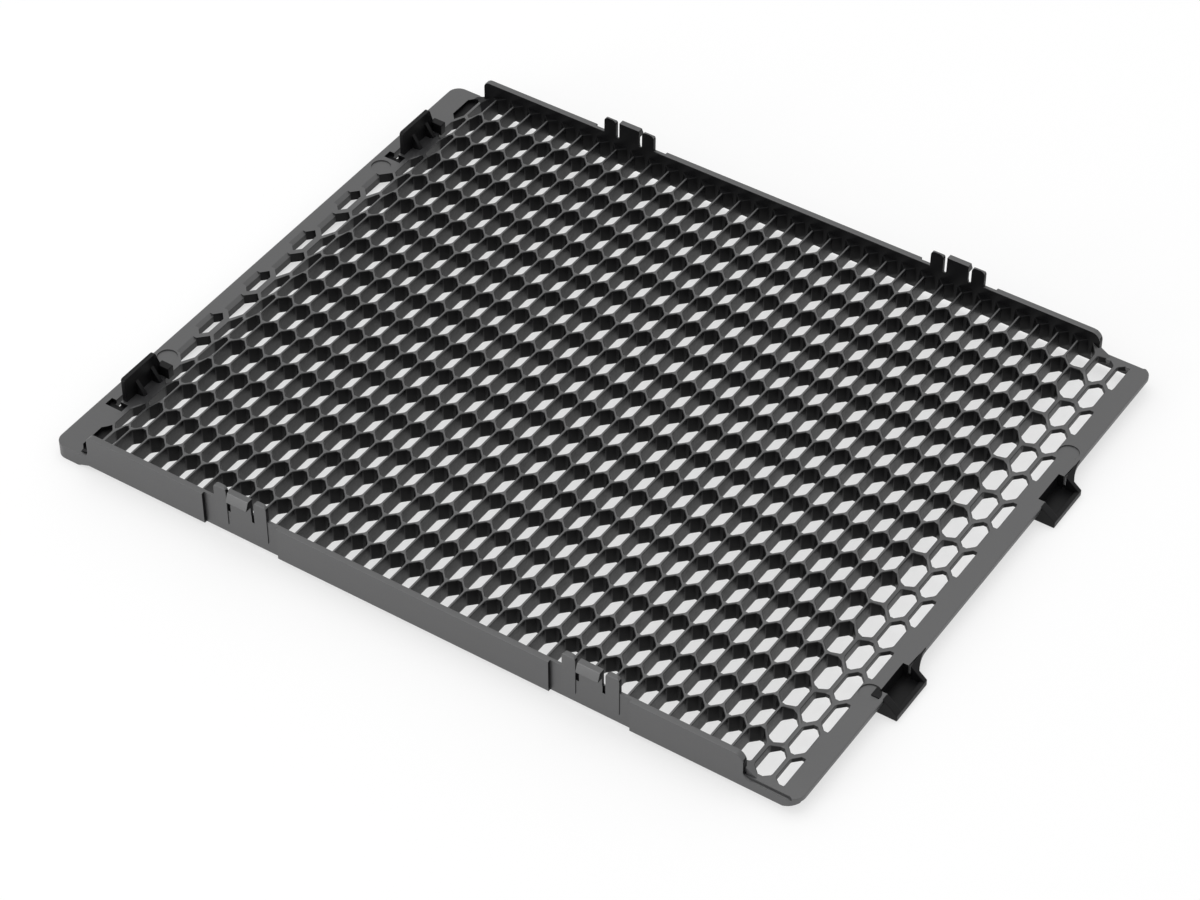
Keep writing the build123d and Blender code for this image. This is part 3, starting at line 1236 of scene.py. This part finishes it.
    def make(self) -> bpy.types.Object:
        """Make the wall on the -Y side, with painted shade on its inner face and cross faces.

        Returns:
            The wall.
        """
        wall = combine(self.band(), self.recesses(), Combine.CUT)
        combine(wall, self.undercut(), Combine.CUT)
        self.dress(combine(wall, self.prongs(), Combine.JOIN), FinishOrShade.GRAINED)
        return self.paint_shade(wall, lambda way: max(way.y, abs(way.x)) > self.square_slope)


@dataclass
class ClipRail(SubAssembly):
    """The channel at the clip end, with slots, reliefs around the clips and round marks."""

    copies: CopyRow
    skirt: float = 3.2
    collar: float = 1.1
    collar_bottom: float = 1.7
    thick_underside: float = 1.8
    thin_underside: float = 3.9
    edge_soft: float = 0.45
    far_slot: SlotSize = (4.8, 14.0, 2.6)
    pocket: SlotSize = (5.2, 16.2, 3.0)
    near_slot_x: float = -145.4
    far_slot_x: float = -149.5
    pocket_x: float = -144.7
    pocket_floor: float = 4.2
    near_rows: tuple[int, ...] = (-4, -2, 0, 2, 4)
    far_rows: tuple[int, ...] = (-3, -1, 1, 3)
    pocket_rows: tuple[int, ...] = (-8, 8)
    relief_x: Span = (-152.0, -150.05)
    relief_span: Span = (-12.6, 12.6)
    relief_end_x: Span = (-154.0, -146.6)
    relief_end_span: Span = (-15.6, -11.8)
    slot_margin: float = 0.4
    ramp_run: float = 2.4
    ramp_depth: float = 1.5
    mark_x: float = -151.4
    mark_centres: Span = (-65.8, 66.0)
    mark_radius: float = 3.9
    mark_depth: float = 0.45

    def make(self) -> bpy.types.Object:
        """Make the rail's body: a plate on a skirt, hollow below except for a collar around each slot."""
        layout = self.layout
        end = layout.grille_left + layout.overlap
        foot = layout.wall_left - layout.foot_slope
        profile = [
            (layout.left_edge - layout.overlap, 0.0),
            (foot, 0.0),
            (end, layout.wall_bottom * (end - foot) / layout.foot_slope),
            (end, layout.clip_rail_top),
            (layout.left_edge - layout.overlap, layout.clip_rail_top),
        ]
        wide = layout.side_face + layout.overlap
        rail = combine(prism("clip_rail", Axis.Y, profile, -wide, wide), layout.plan(), Combine.KEEP_COMMON)
        start = layout.left_edge + self.skirt
        hollow = [
            (start, -layout.overlap),
            (end + layout.overlap, -layout.overlap),
            (end + layout.overlap, self.thin_underside),
            (layout.grille_left, self.thin_underside),
            (start, self.thick_underside),
        ]
        inside = layout.side_inner_face
        below = prism("hollow", Axis.Y, hollow, -inside, inside)
        for line in self.slot_lines(self.collar, self.collar_bottom):
            combine(below, line, Combine.CUT)
        return self.dress(soften(combine(rail, below, Combine.CUT), self.edge_soft), FinishOrShade.GRAINED)

    def near_slot(self) -> SlotSize:
        """Width, length and tip of a slot on the near line, which has the size of a grille cell."""
        layout = self.layout
        width = layout.cell_pitch - layout.rib
        steepness = math.hypot(layout.tip, layout.cell_pitch / 2) / (layout.cell_pitch / 2)
        length = layout.row_pitch + layout.tip - layout.rib * steepness
        return width, length, layout.tip * width / layout.cell_pitch

    def slots(
        self, size: SlotSize, x: float, rows: Sequence[int], margin: float, bottom: float
    ) -> bpy.types.Object:
        """Make prisms for one line of slots.

        Args:
            size: Width, length and tip of a slot.
            x: Place of the line across the rail.
            rows: Rows of the grille that the slots lie in, at equal steps.
            margin: How much larger than the slots the prisms are all round.
            bottom: Height of the prisms' lower ends.

        Returns:
            The prisms, cut off at the side walls.
        """
        width = size[0] + 2 * margin
        length = size[1] + 2 * margin
        tip = size[2]
        shoulder = length / 2 - tip
        outline = [
            (0.0, -length / 2),
            (width / 2, -shoulder),
            (width / 2, shoulder),
            (0.0, length / 2),
            (-width / 2, shoulder),
            (-width / 2, -shoulder),
        ]
        cutter = prism("slot", Axis.Z, outline, bottom, self.layout.clear)
        line = self.copies.lay(cutter, [(x, row * self.layout.row_pitch, 0.0) for row in rows])
        reach = self.layout.side_inner_face - self.slot_margin
        depth = (-self.layout.clear, 2 * self.layout.clear)
        inside = block("inside", (x - width, x + width), (-reach, reach), depth)
        return combine(line, inside, Combine.KEEP_COMMON)

    def reliefs(self) -> bpy.types.Object:
        """Make cutters for the slit that frees each clip from the rail."""
        depth = (-self.layout.overlap, self.layout.clear)
        relief = block("relief", self.relief_x, self.relief_span, depth)
        return self.copies.lay(relief, self.layout.clip_places())

    def slot_lines(self, margin: float, bottom: float) -> list[bpy.types.Object]:
        """Make prisms for all lines of slots, larger than the slots by a margin."""
        return [
            self.slots(self.near_slot(), self.near_slot_x, self.near_rows, margin, bottom),
            self.slots(self.far_slot, self.far_slot_x, self.far_rows, margin, bottom),
        ]

    def pockets(self) -> bpy.types.Object:
        """Make cutters for the blind pockets at both ends of the rail and beside each clip, with painted
        shade on their faces.
        """
        depth = (self.pocket_floor, self.layout.clear)
        relief_end = block("relief_end", self.relief_end_x, self.relief_end_span, depth)
        relief_ends = self.copies.lay(relief_end, self.layout.clip_places())
        corners = self.slots(self.pocket, self.pocket_x, self.pocket_rows, 0.0, self.pocket_floor)
        return self.dress(combine(corners, relief_ends, Combine.JOIN), FinishOrShade.DEEP_BLACK)

    def ramps(self) -> bpy.types.Object:
        """Make cutters for the slope that leads into each slot from the rail's outer side."""
        near = self.ramp_line(self.near_slot(), self.near_slot_x, self.near_rows)
        far = self.ramp_line(self.far_slot, self.far_slot_x, self.far_rows)
        return self.dress(combine(near, far, Combine.JOIN), FinishOrShade.GRAINED)

    def ramp_line(self, size: SlotSize, x: float, rows: Sequence[int]) -> bpy.types.Object:
        """Make wedges for one line of slots.

        Args:
            size: Width, length and tip of a slot.
            x: Place of the line across the rail.
            rows: Rows of the grille that the slots lie in, at equal steps.

        Returns:
            The wedges.
        """
        top = self.layout.clip_rail_top
        margin = self.layout.overlap
        edge = x - size[0] / 2
        shoulder = size[1] / 2 - size[2]
        profile = [
            (edge - self.ramp_run, top + margin),
            (edge + margin, top + margin),
            (edge + margin, top - self.ramp_depth),
        ]
        wedge = prism("slot_ramp", Axis.Y, profile, -shoulder, shoulder)
        return self.copies.lay(wedge, [(0.0, row * self.layout.row_pitch, 0.0) for row in rows])

    def openings(self) -> bpy.types.Object:
        """Make cutters for all slots and reliefs, which go through, with painted shade on their walls,
        darkest at their ends.

        Returns:
            The cutters.
        """
        cut = self.reliefs()
        for line in self.slot_lines(0.0, -self.layout.overlap):
            combine(cut, line, Combine.JOIN)
        self.dress(cut, FinishOrShade.CORE_SIDE)
        return self.paint_shade(cut, lambda way: abs(way.y) > END_SLANT)

    def marks(self) -> bpy.types.Object:
        """Make cutters for the shallow round marks on the rail's top."""
        floor = self.layout.clip_rail_top - self.mark_depth
        mark = prism("mark", Axis.Z, circle(self.mark_x, 0.0, self.mark_radius), floor, self.layout.clear)
        marks = self.copies.lay(mark, [(0.0, centre, 0.0) for centre in self.mark_centres])
        return self.dress(marks, FinishOrShade.GRAINED)


@dataclass
class SpringClip(SubAssembly):
    """An upright spring plate with two gussets and a low step, on the clip rail."""

    copies: CopyRow
    outer_face: float = -150.0
    thickness: float = 2.0
    half_length: float = 10.6
    top_shortfall: float = 3.6
    height: float = 10.3
    gusset_reach: float = 4.0
    gusset_height: float = 6.0
    gusset_spacing: float = 8.6
    gusset_thickness: float = 1.6
    step_reach: float = 4.6
    step_width: float = 3.0
    step_height: float = 4.3
    edge_soft: float = 0.3

    def make(self) -> bpy.types.Object:
        """Make both clips, in the darkest copy of the plastic as painted shade."""
        foot = self.layout.clip_rail_top - self.layout.overlap
        top = self.layout.clip_rail_top + self.height
        inner = self.outer_face + self.thickness
        far = self.half_length
        side_view = rounded(
            [
                (-far, foot, 0.0),
                (far, foot, 0.0),
                (far - self.top_shortfall, top, self.thickness / 2),
                (-far, top, self.thickness / 2),
            ]
        )
        clip = soften(prism("spring_clip", Axis.X, side_view, self.outer_face, inner), self.edge_soft)
        low = self.layout.clip_rail_top
        gusset = [
            (inner - self.edge_soft * 2, foot),
            (inner + self.gusset_reach, foot),
            (inner + self.gusset_reach, low + self.edge_soft),
            (inner, low + self.gusset_height),
            (inner - self.edge_soft * 2, low + self.gusset_height),
        ]
        for middle in (-self.gusset_spacing / 2, self.gusset_spacing / 2):
            span = (middle - self.gusset_thickness / 2, middle + self.gusset_thickness / 2)
            combine(clip, soften(prism("gusset", Axis.Y, gusset, *span), self.edge_soft / 2), Combine.JOIN)
        step = block(
            "step",
            (inner - self.edge_soft * 2, inner + self.step_reach),
            (far - self.step_width, far),
            (foot, low + self.step_height),
        )
        combine(clip, soften(step, self.edge_soft), Combine.JOIN)
        return self.dress(self.copies.lay(clip, self.layout.clip_places()), FinishOrShade.DEEP_BLACK)


@dataclass
class HookRail(SubAssembly):
    """The thin plate at the hook end, which runs back along both sides to the walls."""

    copies: CopyRow
    side_strip: float = 3.6
    edge_soft: float = 0.35
    groove_floor: float = 6.1
    groove_depth: float = 0.9
    groove_start: float = 129.0
    groove_end: float = 147.4
    groove_fade: float = 3.0
    mark_x: float = 145.9
    mark_centres: Span = (-69.4, 68.6)
    mark_radius: float = 4.0
    mark_depth: float = 0.45

    def grooves(self) -> bpy.types.Object:
        """Make cutters for the groove along each side, which fades out before the corner."""
        layout = self.layout
        outside = layout.side_face + layout.overlap
        inside = layout.side_face - self.groove_depth
        near = [
            (self.groove_start, -outside),
            (self.groove_end + self.groove_fade, -outside),
            (self.groove_end, -inside),
            (self.groove_start, -inside),
        ]
        cut = prism("groove", Axis.Z, near, self.groove_floor, layout.clear)
        far = prism("far_groove", Axis.Z, [(x, -y) for x, y in near], self.groove_floor, layout.clear)
        return combine(cut, far, Combine.JOIN)

    def make(self) -> bpy.types.Object:
        """Make the rail with its side strips."""
        layout = self.layout
        start = layout.wall_right - layout.wall_thickness
        corners = [
            (start, -layout.side_face, 0.0),
            (layout.right_edge, -layout.side_face, layout.corner_radius),
            (layout.right_edge, layout.side_face, layout.corner_radius),
            (start, layout.side_face, 0.0),
        ]
        rail = prism("hook_rail", Axis.Z, rounded(corners), layout.grille_bottom, layout.flange_top)
        inner = layout.side_face - self.side_strip
        hole = ((start - layout.overlap, layout.grille_right - layout.overlap), (-inner, inner))
        combine(rail, block("hole", *hole, (0.0, layout.clear)), Combine.CUT)
        combine(soften(rail, self.edge_soft), self.grooves(), Combine.CUT)
        return self.dress(rail, FinishOrShade.GRAINED)

    def marks(self) -> bpy.types.Object:
        """Make cutters for the shallow round marks on the rail's top."""
        floor = self.layout.flange_top - self.mark_depth
        mark = prism("mark", Axis.Z, circle(self.mark_x, 0.0, self.mark_radius), floor, self.layout.clear)
        marks = self.copies.lay(mark, [(0.0, centre, 0.0) for centre in self.mark_centres])
        return self.dress(marks, FinishOrShade.GRAINED)


@dataclass
class EdgeHook(SubAssembly):
    """A pocket that hangs from the hook rail's edge and cuts into the rail."""

    copies: CopyRow
    centres: Span = (-60.0, 48.8)
    half_length: float = 10.0
    reach: float = 5.6
    bite: float = 3.0
    wall: float = 1.8
    floor: float = 1.6
    lip_height: float = 2.6
    near_cheek: float = 3.2
    flare_length: float = 8.4
    flare_reach: float = 2.4
    flare_steps: int = 8
    flare_thickness: float = 1.8
    slit_width: float = 0.9
    slit_share: float = 0.7
    edge_soft: float = 0.3

    def places(self) -> list[Place]:
        """Places of the hooks along the rail."""
        return [(0.0, centre, 0.0) for centre in self.centres]

    def cheek_profile(self) -> Outline:
        """Draw a cheek's side view, which slopes from the rail's top to the lip."""
        edge = self.layout.right_edge
        tip = edge + self.reach
        back = edge - self.bite - self.wall
        top = self.layout.flange_top
        return [(back, 0.0), (tip, 0.0), (tip, self.lip_height), (edge, top), (back, top)]

    def pocket(self) -> bpy.types.Object:
        """Make the back plate, floor, lip and two sloping cheeks of one pocket."""
        edge = self.layout.right_edge - self.bite
        top = self.layout.flange_top
        tip = self.layout.right_edge + self.reach
        back = edge - self.wall
        trough = [
            (back, 0.0),
            (tip, 0.0),
            (tip, self.lip_height),
            (tip - self.wall, self.lip_height),
            (tip - self.wall, self.floor),
            (edge, self.floor),
            (edge, top),
            (back, top),
        ]
        hook = prism("edge_hook", Axis.Y, trough, -self.half_length, self.half_length)
        soften(hook, self.edge_soft)
        near = (-self.half_length, -self.half_length + self.near_cheek)
        far = (self.half_length - self.wall, self.half_length)
        for span in (near, far):
            cheek = prism("cheek", Axis.Y, self.cheek_profile(), *span)
            combine(hook, soften(cheek, self.edge_soft), Combine.JOIN)
        return hook

    def flare(self) -> bpy.types.Object:
        """Make the thin curved web that runs from the rail's edge out to the far cheek."""
        edge = self.layout.right_edge
        top = self.layout.flange_top
        start = self.half_length - self.wall
        end = self.half_length + self.flare_length
        plan = [(edge - self.wall, start), (edge + self.flare_reach, start)]
        for step in range(self.flare_steps + 1):
            share = step / self.flare_steps
            out = self.flare_reach * (1 - share) ** 2
            plan.append((edge + out, self.half_length + self.flare_length * share))
        plan.append((edge - self.wall, end))
        web = prism("flare", Axis.Z, plan, 0.0, self.layout.clear)
        slope = [(edge - self.wall, top), (edge, top), (edge + self.reach, self.lip_height)]
        slope += [(x, z - self.flare_thickness) for x, z in reversed(slope)]
        margin = self.layout.overlap
        band = prism("band", Axis.Y, slope, start - margin, end + margin)
        return combine(web, band, Combine.KEEP_COMMON)

    def make(self) -> bpy.types.Object:
        """Make both hooks, in the darkest copy of the plastic as painted shade."""
        hook = combine(self.pocket(), self.flare(), Combine.JOIN)
        return self.dress(self.copies.lay(hook, self.places()), FinishOrShade.DEEP_BLACK)

    def mouths(self) -> bpy.types.Object:
        """Make cutters that open each pocket through the rail, with a slit behind the web, and painted
        shade on their faces.
        """
        edge = self.layout.right_edge
        inside = edge - self.bite
        near = -self.half_length + self.near_cheek
        far = self.half_length - self.wall
        outline = [
            (inside, near),
            (edge + self.edge_soft, near),
            (edge + self.edge_soft, far),
            (edge, far),
            (edge - self.slit_width / 2, self.half_length + self.flare_length * self.slit_share),
            (edge - self.slit_width, far),
            (inside, far),
        ]
        mouth = prism("mouth", Axis.Z, outline, self.floor, self.layout.clear)
        return self.dress(self.copies.lay(mouth, self.places()), FinishOrShade.DEEP_BLACK)


@dataclass
class MouldGrain:
    """The shader group that gives moulded plastic its grain and its uneven gloss."""

    grain_detail: float = 3.0
    grain_roughness: float = 0.6
    flow_detail: float = 4.0
    flow_roughness: float = 0.55
    flow_share: float = 0.6
    noise_low: float = 0.35
    noise_high: float = 0.65
    tree: bpy.types.NodeTree = field(init=False)

    def __post_init__(self) -> None:
        """Build the group once for all finishes."""
        self.tree = bpy.data.node_groups.new("mould_grain", "ShaderNodeTree")
        build = TreeBuilder(self.tree)
        build.declare(
            [
                ("Vector", "NodeSocketVector"),
                ("Colour", "NodeSocketColor"),
                ("Pale Colour", "NodeSocketColor"),
                ("Grain Scale", "NodeSocketFloat"),
                ("Flow Scale", "NodeSocketFloat"),
                ("Least Roughness", "NodeSocketFloat"),
                ("Most Roughness", "NodeSocketFloat"),
            ]
        )
        for name, kind in (("Colour", "Color"), ("Roughness", "Float"), ("Height", "Float")):
            self.tree.interface.new_socket(name=name, in_out="OUTPUT", socket_type="NodeSocket" + kind)
        ends = build.inputs
        feeds = {"Vector": ends["Vector"], "Scale": ends["Grain Scale"]}
        feeds |= {"Detail": self.grain_detail, "Roughness": self.grain_roughness}
        grain = build.node("ShaderNodeTexNoise", feeds).outputs["Fac"]
        feeds = {"Vector": ends["Vector"], "Scale": ends["Flow Scale"]}
        feeds |= {"Detail": self.flow_detail, "Roughness": self.flow_roughness}
        flow = build.node("ShaderNodeTexNoise", feeds).outputs["Fac"]
        fine = build.math("MULTIPLY", grain, 1.0 - self.flow_share)
        mixed = build.math("MULTIPLY_ADD", flow, self.flow_share, fine)
        feeds = {"Value": mixed, "From Min": self.noise_low, "From Max": self.noise_high}
        feeds |= {"To Min": ends["Least Roughness"], "To Max": ends["Most Roughness"]}
        gloss = build.node("ShaderNodeMapRange", feeds, clamp=True).outputs["Result"]
        tint = build.node("ShaderNodeMix", data_type="RGBA")
        build.feed(tint.inputs["Factor"], mixed)
        build.feed(tint.inputs["A"], ends["Colour"])
        build.feed(tint.inputs["B"], ends["Pale Colour"])
        leave = build.node("NodeGroupOutput")
        build.feed(leave.inputs["Colour"], tint.outputs["Result"])
        build.feed(leave.inputs["Roughness"], gloss)
        build.feed(leave.inputs["Height"], grain)


@dataclass(frozen=True)
class PlasticFinishOrShade:
    """One tone of the black plastic: the plain grained one, or a darker copy that paints shade."""

    name: str
    colour: tuple[float, float, float]
    pale_colour: tuple[float, float, float]
    least_roughness: float
    most_roughness: float
    grain_scale: float
    flow_scale: float
    bump_strength: float
    bump_distance: float
    gloss: float
    refraction: float

    def make(self, grain: MouldGrain) -> bpy.types.Material:
        """Make the material.

        Args:
            grain: The shader group for moulded plastic.

        Returns:
            The material.
        """
        material = bpy.data.materials.new(self.name)
        material.use_nodes = True
        material.node_tree.nodes.clear()
        build = TreeBuilder(material.node_tree)
        place = build.node("ShaderNodeTexCoord").outputs["Object"]
        feeds = {
            "Vector": place,
            "Colour": (*self.colour, 1.0),
            "Pale Colour": (*self.pale_colour, 1.0),
            "Grain Scale": self.grain_scale,
            "Flow Scale": self.flow_scale,
            "Least Roughness": self.least_roughness,
            "Most Roughness": self.most_roughness,
        }
        group = material.node_tree.nodes.new("ShaderNodeGroup")
        group.node_tree = grain.tree
        for name, value in feeds.items():
            build.feed(group.inputs[name], value)
        feeds = {"Height": group.outputs["Height"]}
        feeds |= {"Strength": self.bump_strength, "Distance": self.bump_distance * MM}
        bump = build.node("ShaderNodeBump", feeds)
        feeds = {
            "Base Color": group.outputs["Colour"],
            "Roughness": group.outputs["Roughness"],
            "Normal": bump.outputs["Normal"],
            "Specular IOR Level": self.gloss,
            "IOR": self.refraction,
        }
        shader = build.node("ShaderNodeBsdfPrincipled", feeds)
        output = build.node("ShaderNodeOutputMaterial")
        build.feed(output.inputs["Surface"], shader.outputs["BSDF"])
        return material


GRAINED_PLASTIC = PlasticFinishOrShade(
    name="grained_black_plastic",
    colour=(0.016, 0.016, 0.017),
    pale_colour=(0.030, 0.030, 0.0315),
    least_roughness=0.36,
    most_roughness=0.50,
    grain_scale=1500.0,
    flow_scale=38.0,
    bump_strength=0.25,
    bump_distance=0.05,
    gloss=0.9,
    refraction=1.58,
)
# A darker copy of the plastic with weaker reflection, for the walls of cells and slots: painted shade
# inside them.
SHADED_LINING_PLASTIC = PlasticFinishOrShade(
    name="core_side_black_plastic",
    colour=(0.003, 0.003, 0.0034),
    pale_colour=(0.008, 0.008, 0.0085),
    least_roughness=0.30,
    most_roughness=0.46,
    grain_scale=900.0,
    flow_scale=90.0,
    bump_strength=0.5,
    bump_distance=0.08,
    gloss=0.42,
    refraction=1.5,
)
# The darkest copy of the plastic with the weakest reflection: painted shade at cell ends, beside the side
# walls, in grooves, pockets and slot ends, and on the clips and hooks.
PAINTED_SHADE_PLASTIC = PlasticFinishOrShade(
    name="deep_black_plastic",
    colour=(0.003, 0.003, 0.0034),
    pale_colour=(0.006, 0.006, 0.0065),
    least_roughness=0.34,
    most_roughness=0.50,
    grain_scale=1100.0,
    flow_scale=30.0,
    bump_strength=0.15,
    bump_distance=0.03,
    gloss=0.15,
    refraction=1.5,
)


def seen_rays(build: TreeBuilder) -> Socket:
    """Tell the rays that show the background: from the camera, from gloss and through glass.

    Args:
        build: Builder of the material or world that asks.

    Returns:
        1 for such a ray, 0 for any other.
    """
    path = build.node("ShaderNodeLightPath").outputs
    gloss = build.math("MAXIMUM", path["Is Glossy Ray"], path["Is Transmission Ray"])
    return build.math("MAXIMUM", path["Is Camera Ray"], gloss)


@dataclass
class Studio:
    """The camera, the pale floor and the soft light."""

    camera_place: Place = (516.75, -792.45, 877.72)
    camera_right: tuple[float, float, float] = (0.83394, 0.55185, 0.00100)
    camera_up: tuple[float, float, float] = (-0.37905, 0.57149, 0.72781)
    camera_back: tuple[float, float, float] = (0.40108, -0.60733, 0.68577)
    lens: float = 108.06
    sensor: float = 36.0
    clip_start: float = 10.0
    floor_half: float = 6000.0
    floor_gap: float = 0.05
    floor_depth: float = 60.0
    floor_colour: tuple[float, float, float] = (0.95, 0.95, 0.95)
    floor_glow: float = 0.6
    world_light: float = 0.85
    softboxes: tuple[tuple[str, float, Place, float], ...] = (
        ("top_softbox", 1800.0, (-300.0, 300.0, 2000.0), 9.0),
        ("front_softbox", 700.0, (-760.0, -1757.0, 370.0), 9.0),
    )

    def place_camera(self) -> None:
        """Put the camera at the photo's viewing angle."""
        data = bpy.data.cameras.new("camera")
        data.sensor_width = self.sensor
        data.lens = self.lens
        data.clip_start = self.clip_start * MM
        camera = bpy.data.objects.new("camera", data)
        turn = Matrix((self.camera_right, self.camera_up, self.camera_back)).transposed()
        camera.matrix_world = Matrix.Translation(Vector(self.camera_place) * MM) @ turn.to_4x4()
        bpy.context.scene.collection.objects.link(camera)
        bpy.context.scene.camera = camera

    def lay_floor(self) -> bpy.types.Object:
        """Lay the plain pale floor.

        Returns:
            The floor.
        """
        half = self.floor_half
        floor = block("floor", (-half, half), (-half, half), (-self.floor_depth, -self.floor_gap))
        material = bpy.data.materials.new("pale_floor")
        material.use_nodes = True
        material.node_tree.nodes.clear()
        build = TreeBuilder(material.node_tree)
        lit = build.node("ShaderNodeBsdfDiffuse", {"Color": (*self.floor_colour, 1.0)}).outputs["BSDF"]
        white = build.node("ShaderNodeEmission", {"Color": WHITE, "Strength": 1.0})
        share = build.math("MULTIPLY", seen_rays(build), self.floor_glow)
        mixed = build.node("ShaderNodeMixShader", {"Fac": share})
        build.feed(mixed.inputs[1], lit)
        build.feed(mixed.inputs[2], white.outputs["Emission"])
        output = build.node("ShaderNodeOutputMaterial")
        build.feed(output.inputs["Surface"], mixed.outputs["Shader"])
        floor.data.materials.append(material)
        return floor

    def light(self) -> None:
        """Set the even surrounding light and the softboxes."""
        world = bpy.data.worlds.new("studio")
        world.use_nodes = True
        world.node_tree.nodes.clear()
        build = TreeBuilder(world.node_tree)
        feeds = {"Value": seen_rays(build), "To Min": self.world_light, "To Max": 1.0}
        strength = build.node("ShaderNodeMapRange", feeds).outputs["Result"]
        sky = build.node("ShaderNodeBackground", {"Color": WHITE, "Strength": strength})
        output = build.node("ShaderNodeOutputWorld")
        build.feed(output.inputs["Surface"], sky.outputs["Background"])
        bpy.context.scene.world = world
        for name, size, place, power in self.softboxes:
            data = bpy.data.lights.new(name, "AREA")
            data.shape = "SQUARE"
            data.size = size * MM
            data.energy = power
            lamp = bpy.data.objects.new(name, data)
            lamp.location = Vector(place) * MM
            lamp.rotation_euler = lamp.location.to_track_quat("Z", "Y").to_euler()
            bpy.context.scene.collection.objects.link(lamp)


@dataclass
class RadiatorGuard:
    """The whole moulding, joined from its sub-assemblies."""

    layout: Layout
    materials: dict[FinishOrShade, bpy.types.Material]

    def steps(self) -> list[tuple[bpy.types.Object, Combine]]:
        """Make all parts around the grille, in the order in which they join or cut it.

        Returns:
            Pairs of a part and what it does.
        """
        shared = (self.layout, self.materials, CopyRow(self.materials[FinishOrShade.GRAINED]))
        side_wall = SideWall(*shared)
        near_wall = side_wall.make()
        near_tails = side_wall.tails()
        clip_rail = ClipRail(*shared)
        hook_rail = HookRail(*shared)
        hooks = EdgeHook(*shared)
        return [
            (near_wall, Combine.JOIN),
            (mirrored(near_wall, "far_side_wall"), Combine.JOIN),
            (near_tails, Combine.CUT),
            (mirrored(near_tails, "far_tails"), Combine.CUT),
            (clip_rail.make(), Combine.JOIN),
            (hook_rail.make(), Combine.JOIN),
            (SpringClip(*shared).make(), Combine.JOIN),
            (clip_rail.openings(), Combine.CUT),
            (clip_rail.pockets(), Combine.CUT),
            (clip_rail.ramps(), Combine.CUT),
            (clip_rail.marks(), Combine.CUT),
            (hook_rail.marks(), Combine.CUT),
            (hooks.make(), Combine.JOIN),
            (hooks.mouths(), Combine.CUT),
        ]

    def make(self) -> bpy.types.Object:
        """Join all parts into one moulding with crisp, smoothly shaded faces.

        Returns:
            The guard.
        """
        guard = HoneycombGrille(self.layout, self.materials).make()
        for part, how in self.steps():
            combine(guard, part, how)
        guard.name = "guard_moulding"
        clean(guard, SHORTEST_EDGE)
        for face in guard.data.polygons:
            face.use_smooth = True
        guard.data.set_sharp_from_angle(angle=SHARP_ANGLE)
        weighted = guard.modifiers.new("weighted", "WEIGHTED_NORMAL")
        weighted.keep_sharp = True
        bake(guard)
        return guard


def main() -> None:
    """Load the frame, build the guard and its setting, and report each piece."""
    logging.basicConfig(level=logging.INFO, format="%(name)s: %(message)s")
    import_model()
    bpy.context.scene.view_settings.view_transform = "Standard"
    grain = MouldGrain()
    materials = {
        FinishOrShade.GRAINED: GRAINED_PLASTIC.make(grain),
        # The second and third materials are darker copies of the plastic that paint shade.
        FinishOrShade.CORE_SIDE: SHADED_LINING_PLASTIC.make(grain),
        FinishOrShade.DEEP_BLACK: PAINTED_SHADE_PLASTIC.make(grain),
    }
    guard = RadiatorGuard(Layout(), materials).make()
    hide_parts(NODE)
    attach(guard, BODY)
    LOG.info("%s: %d faces", guard.name, len(guard.data.polygons))
    studio = Studio()
    studio.place_camera()
    floor = studio.lay_floor()
    studio.light()


if __name__ == "__main__":
    main()
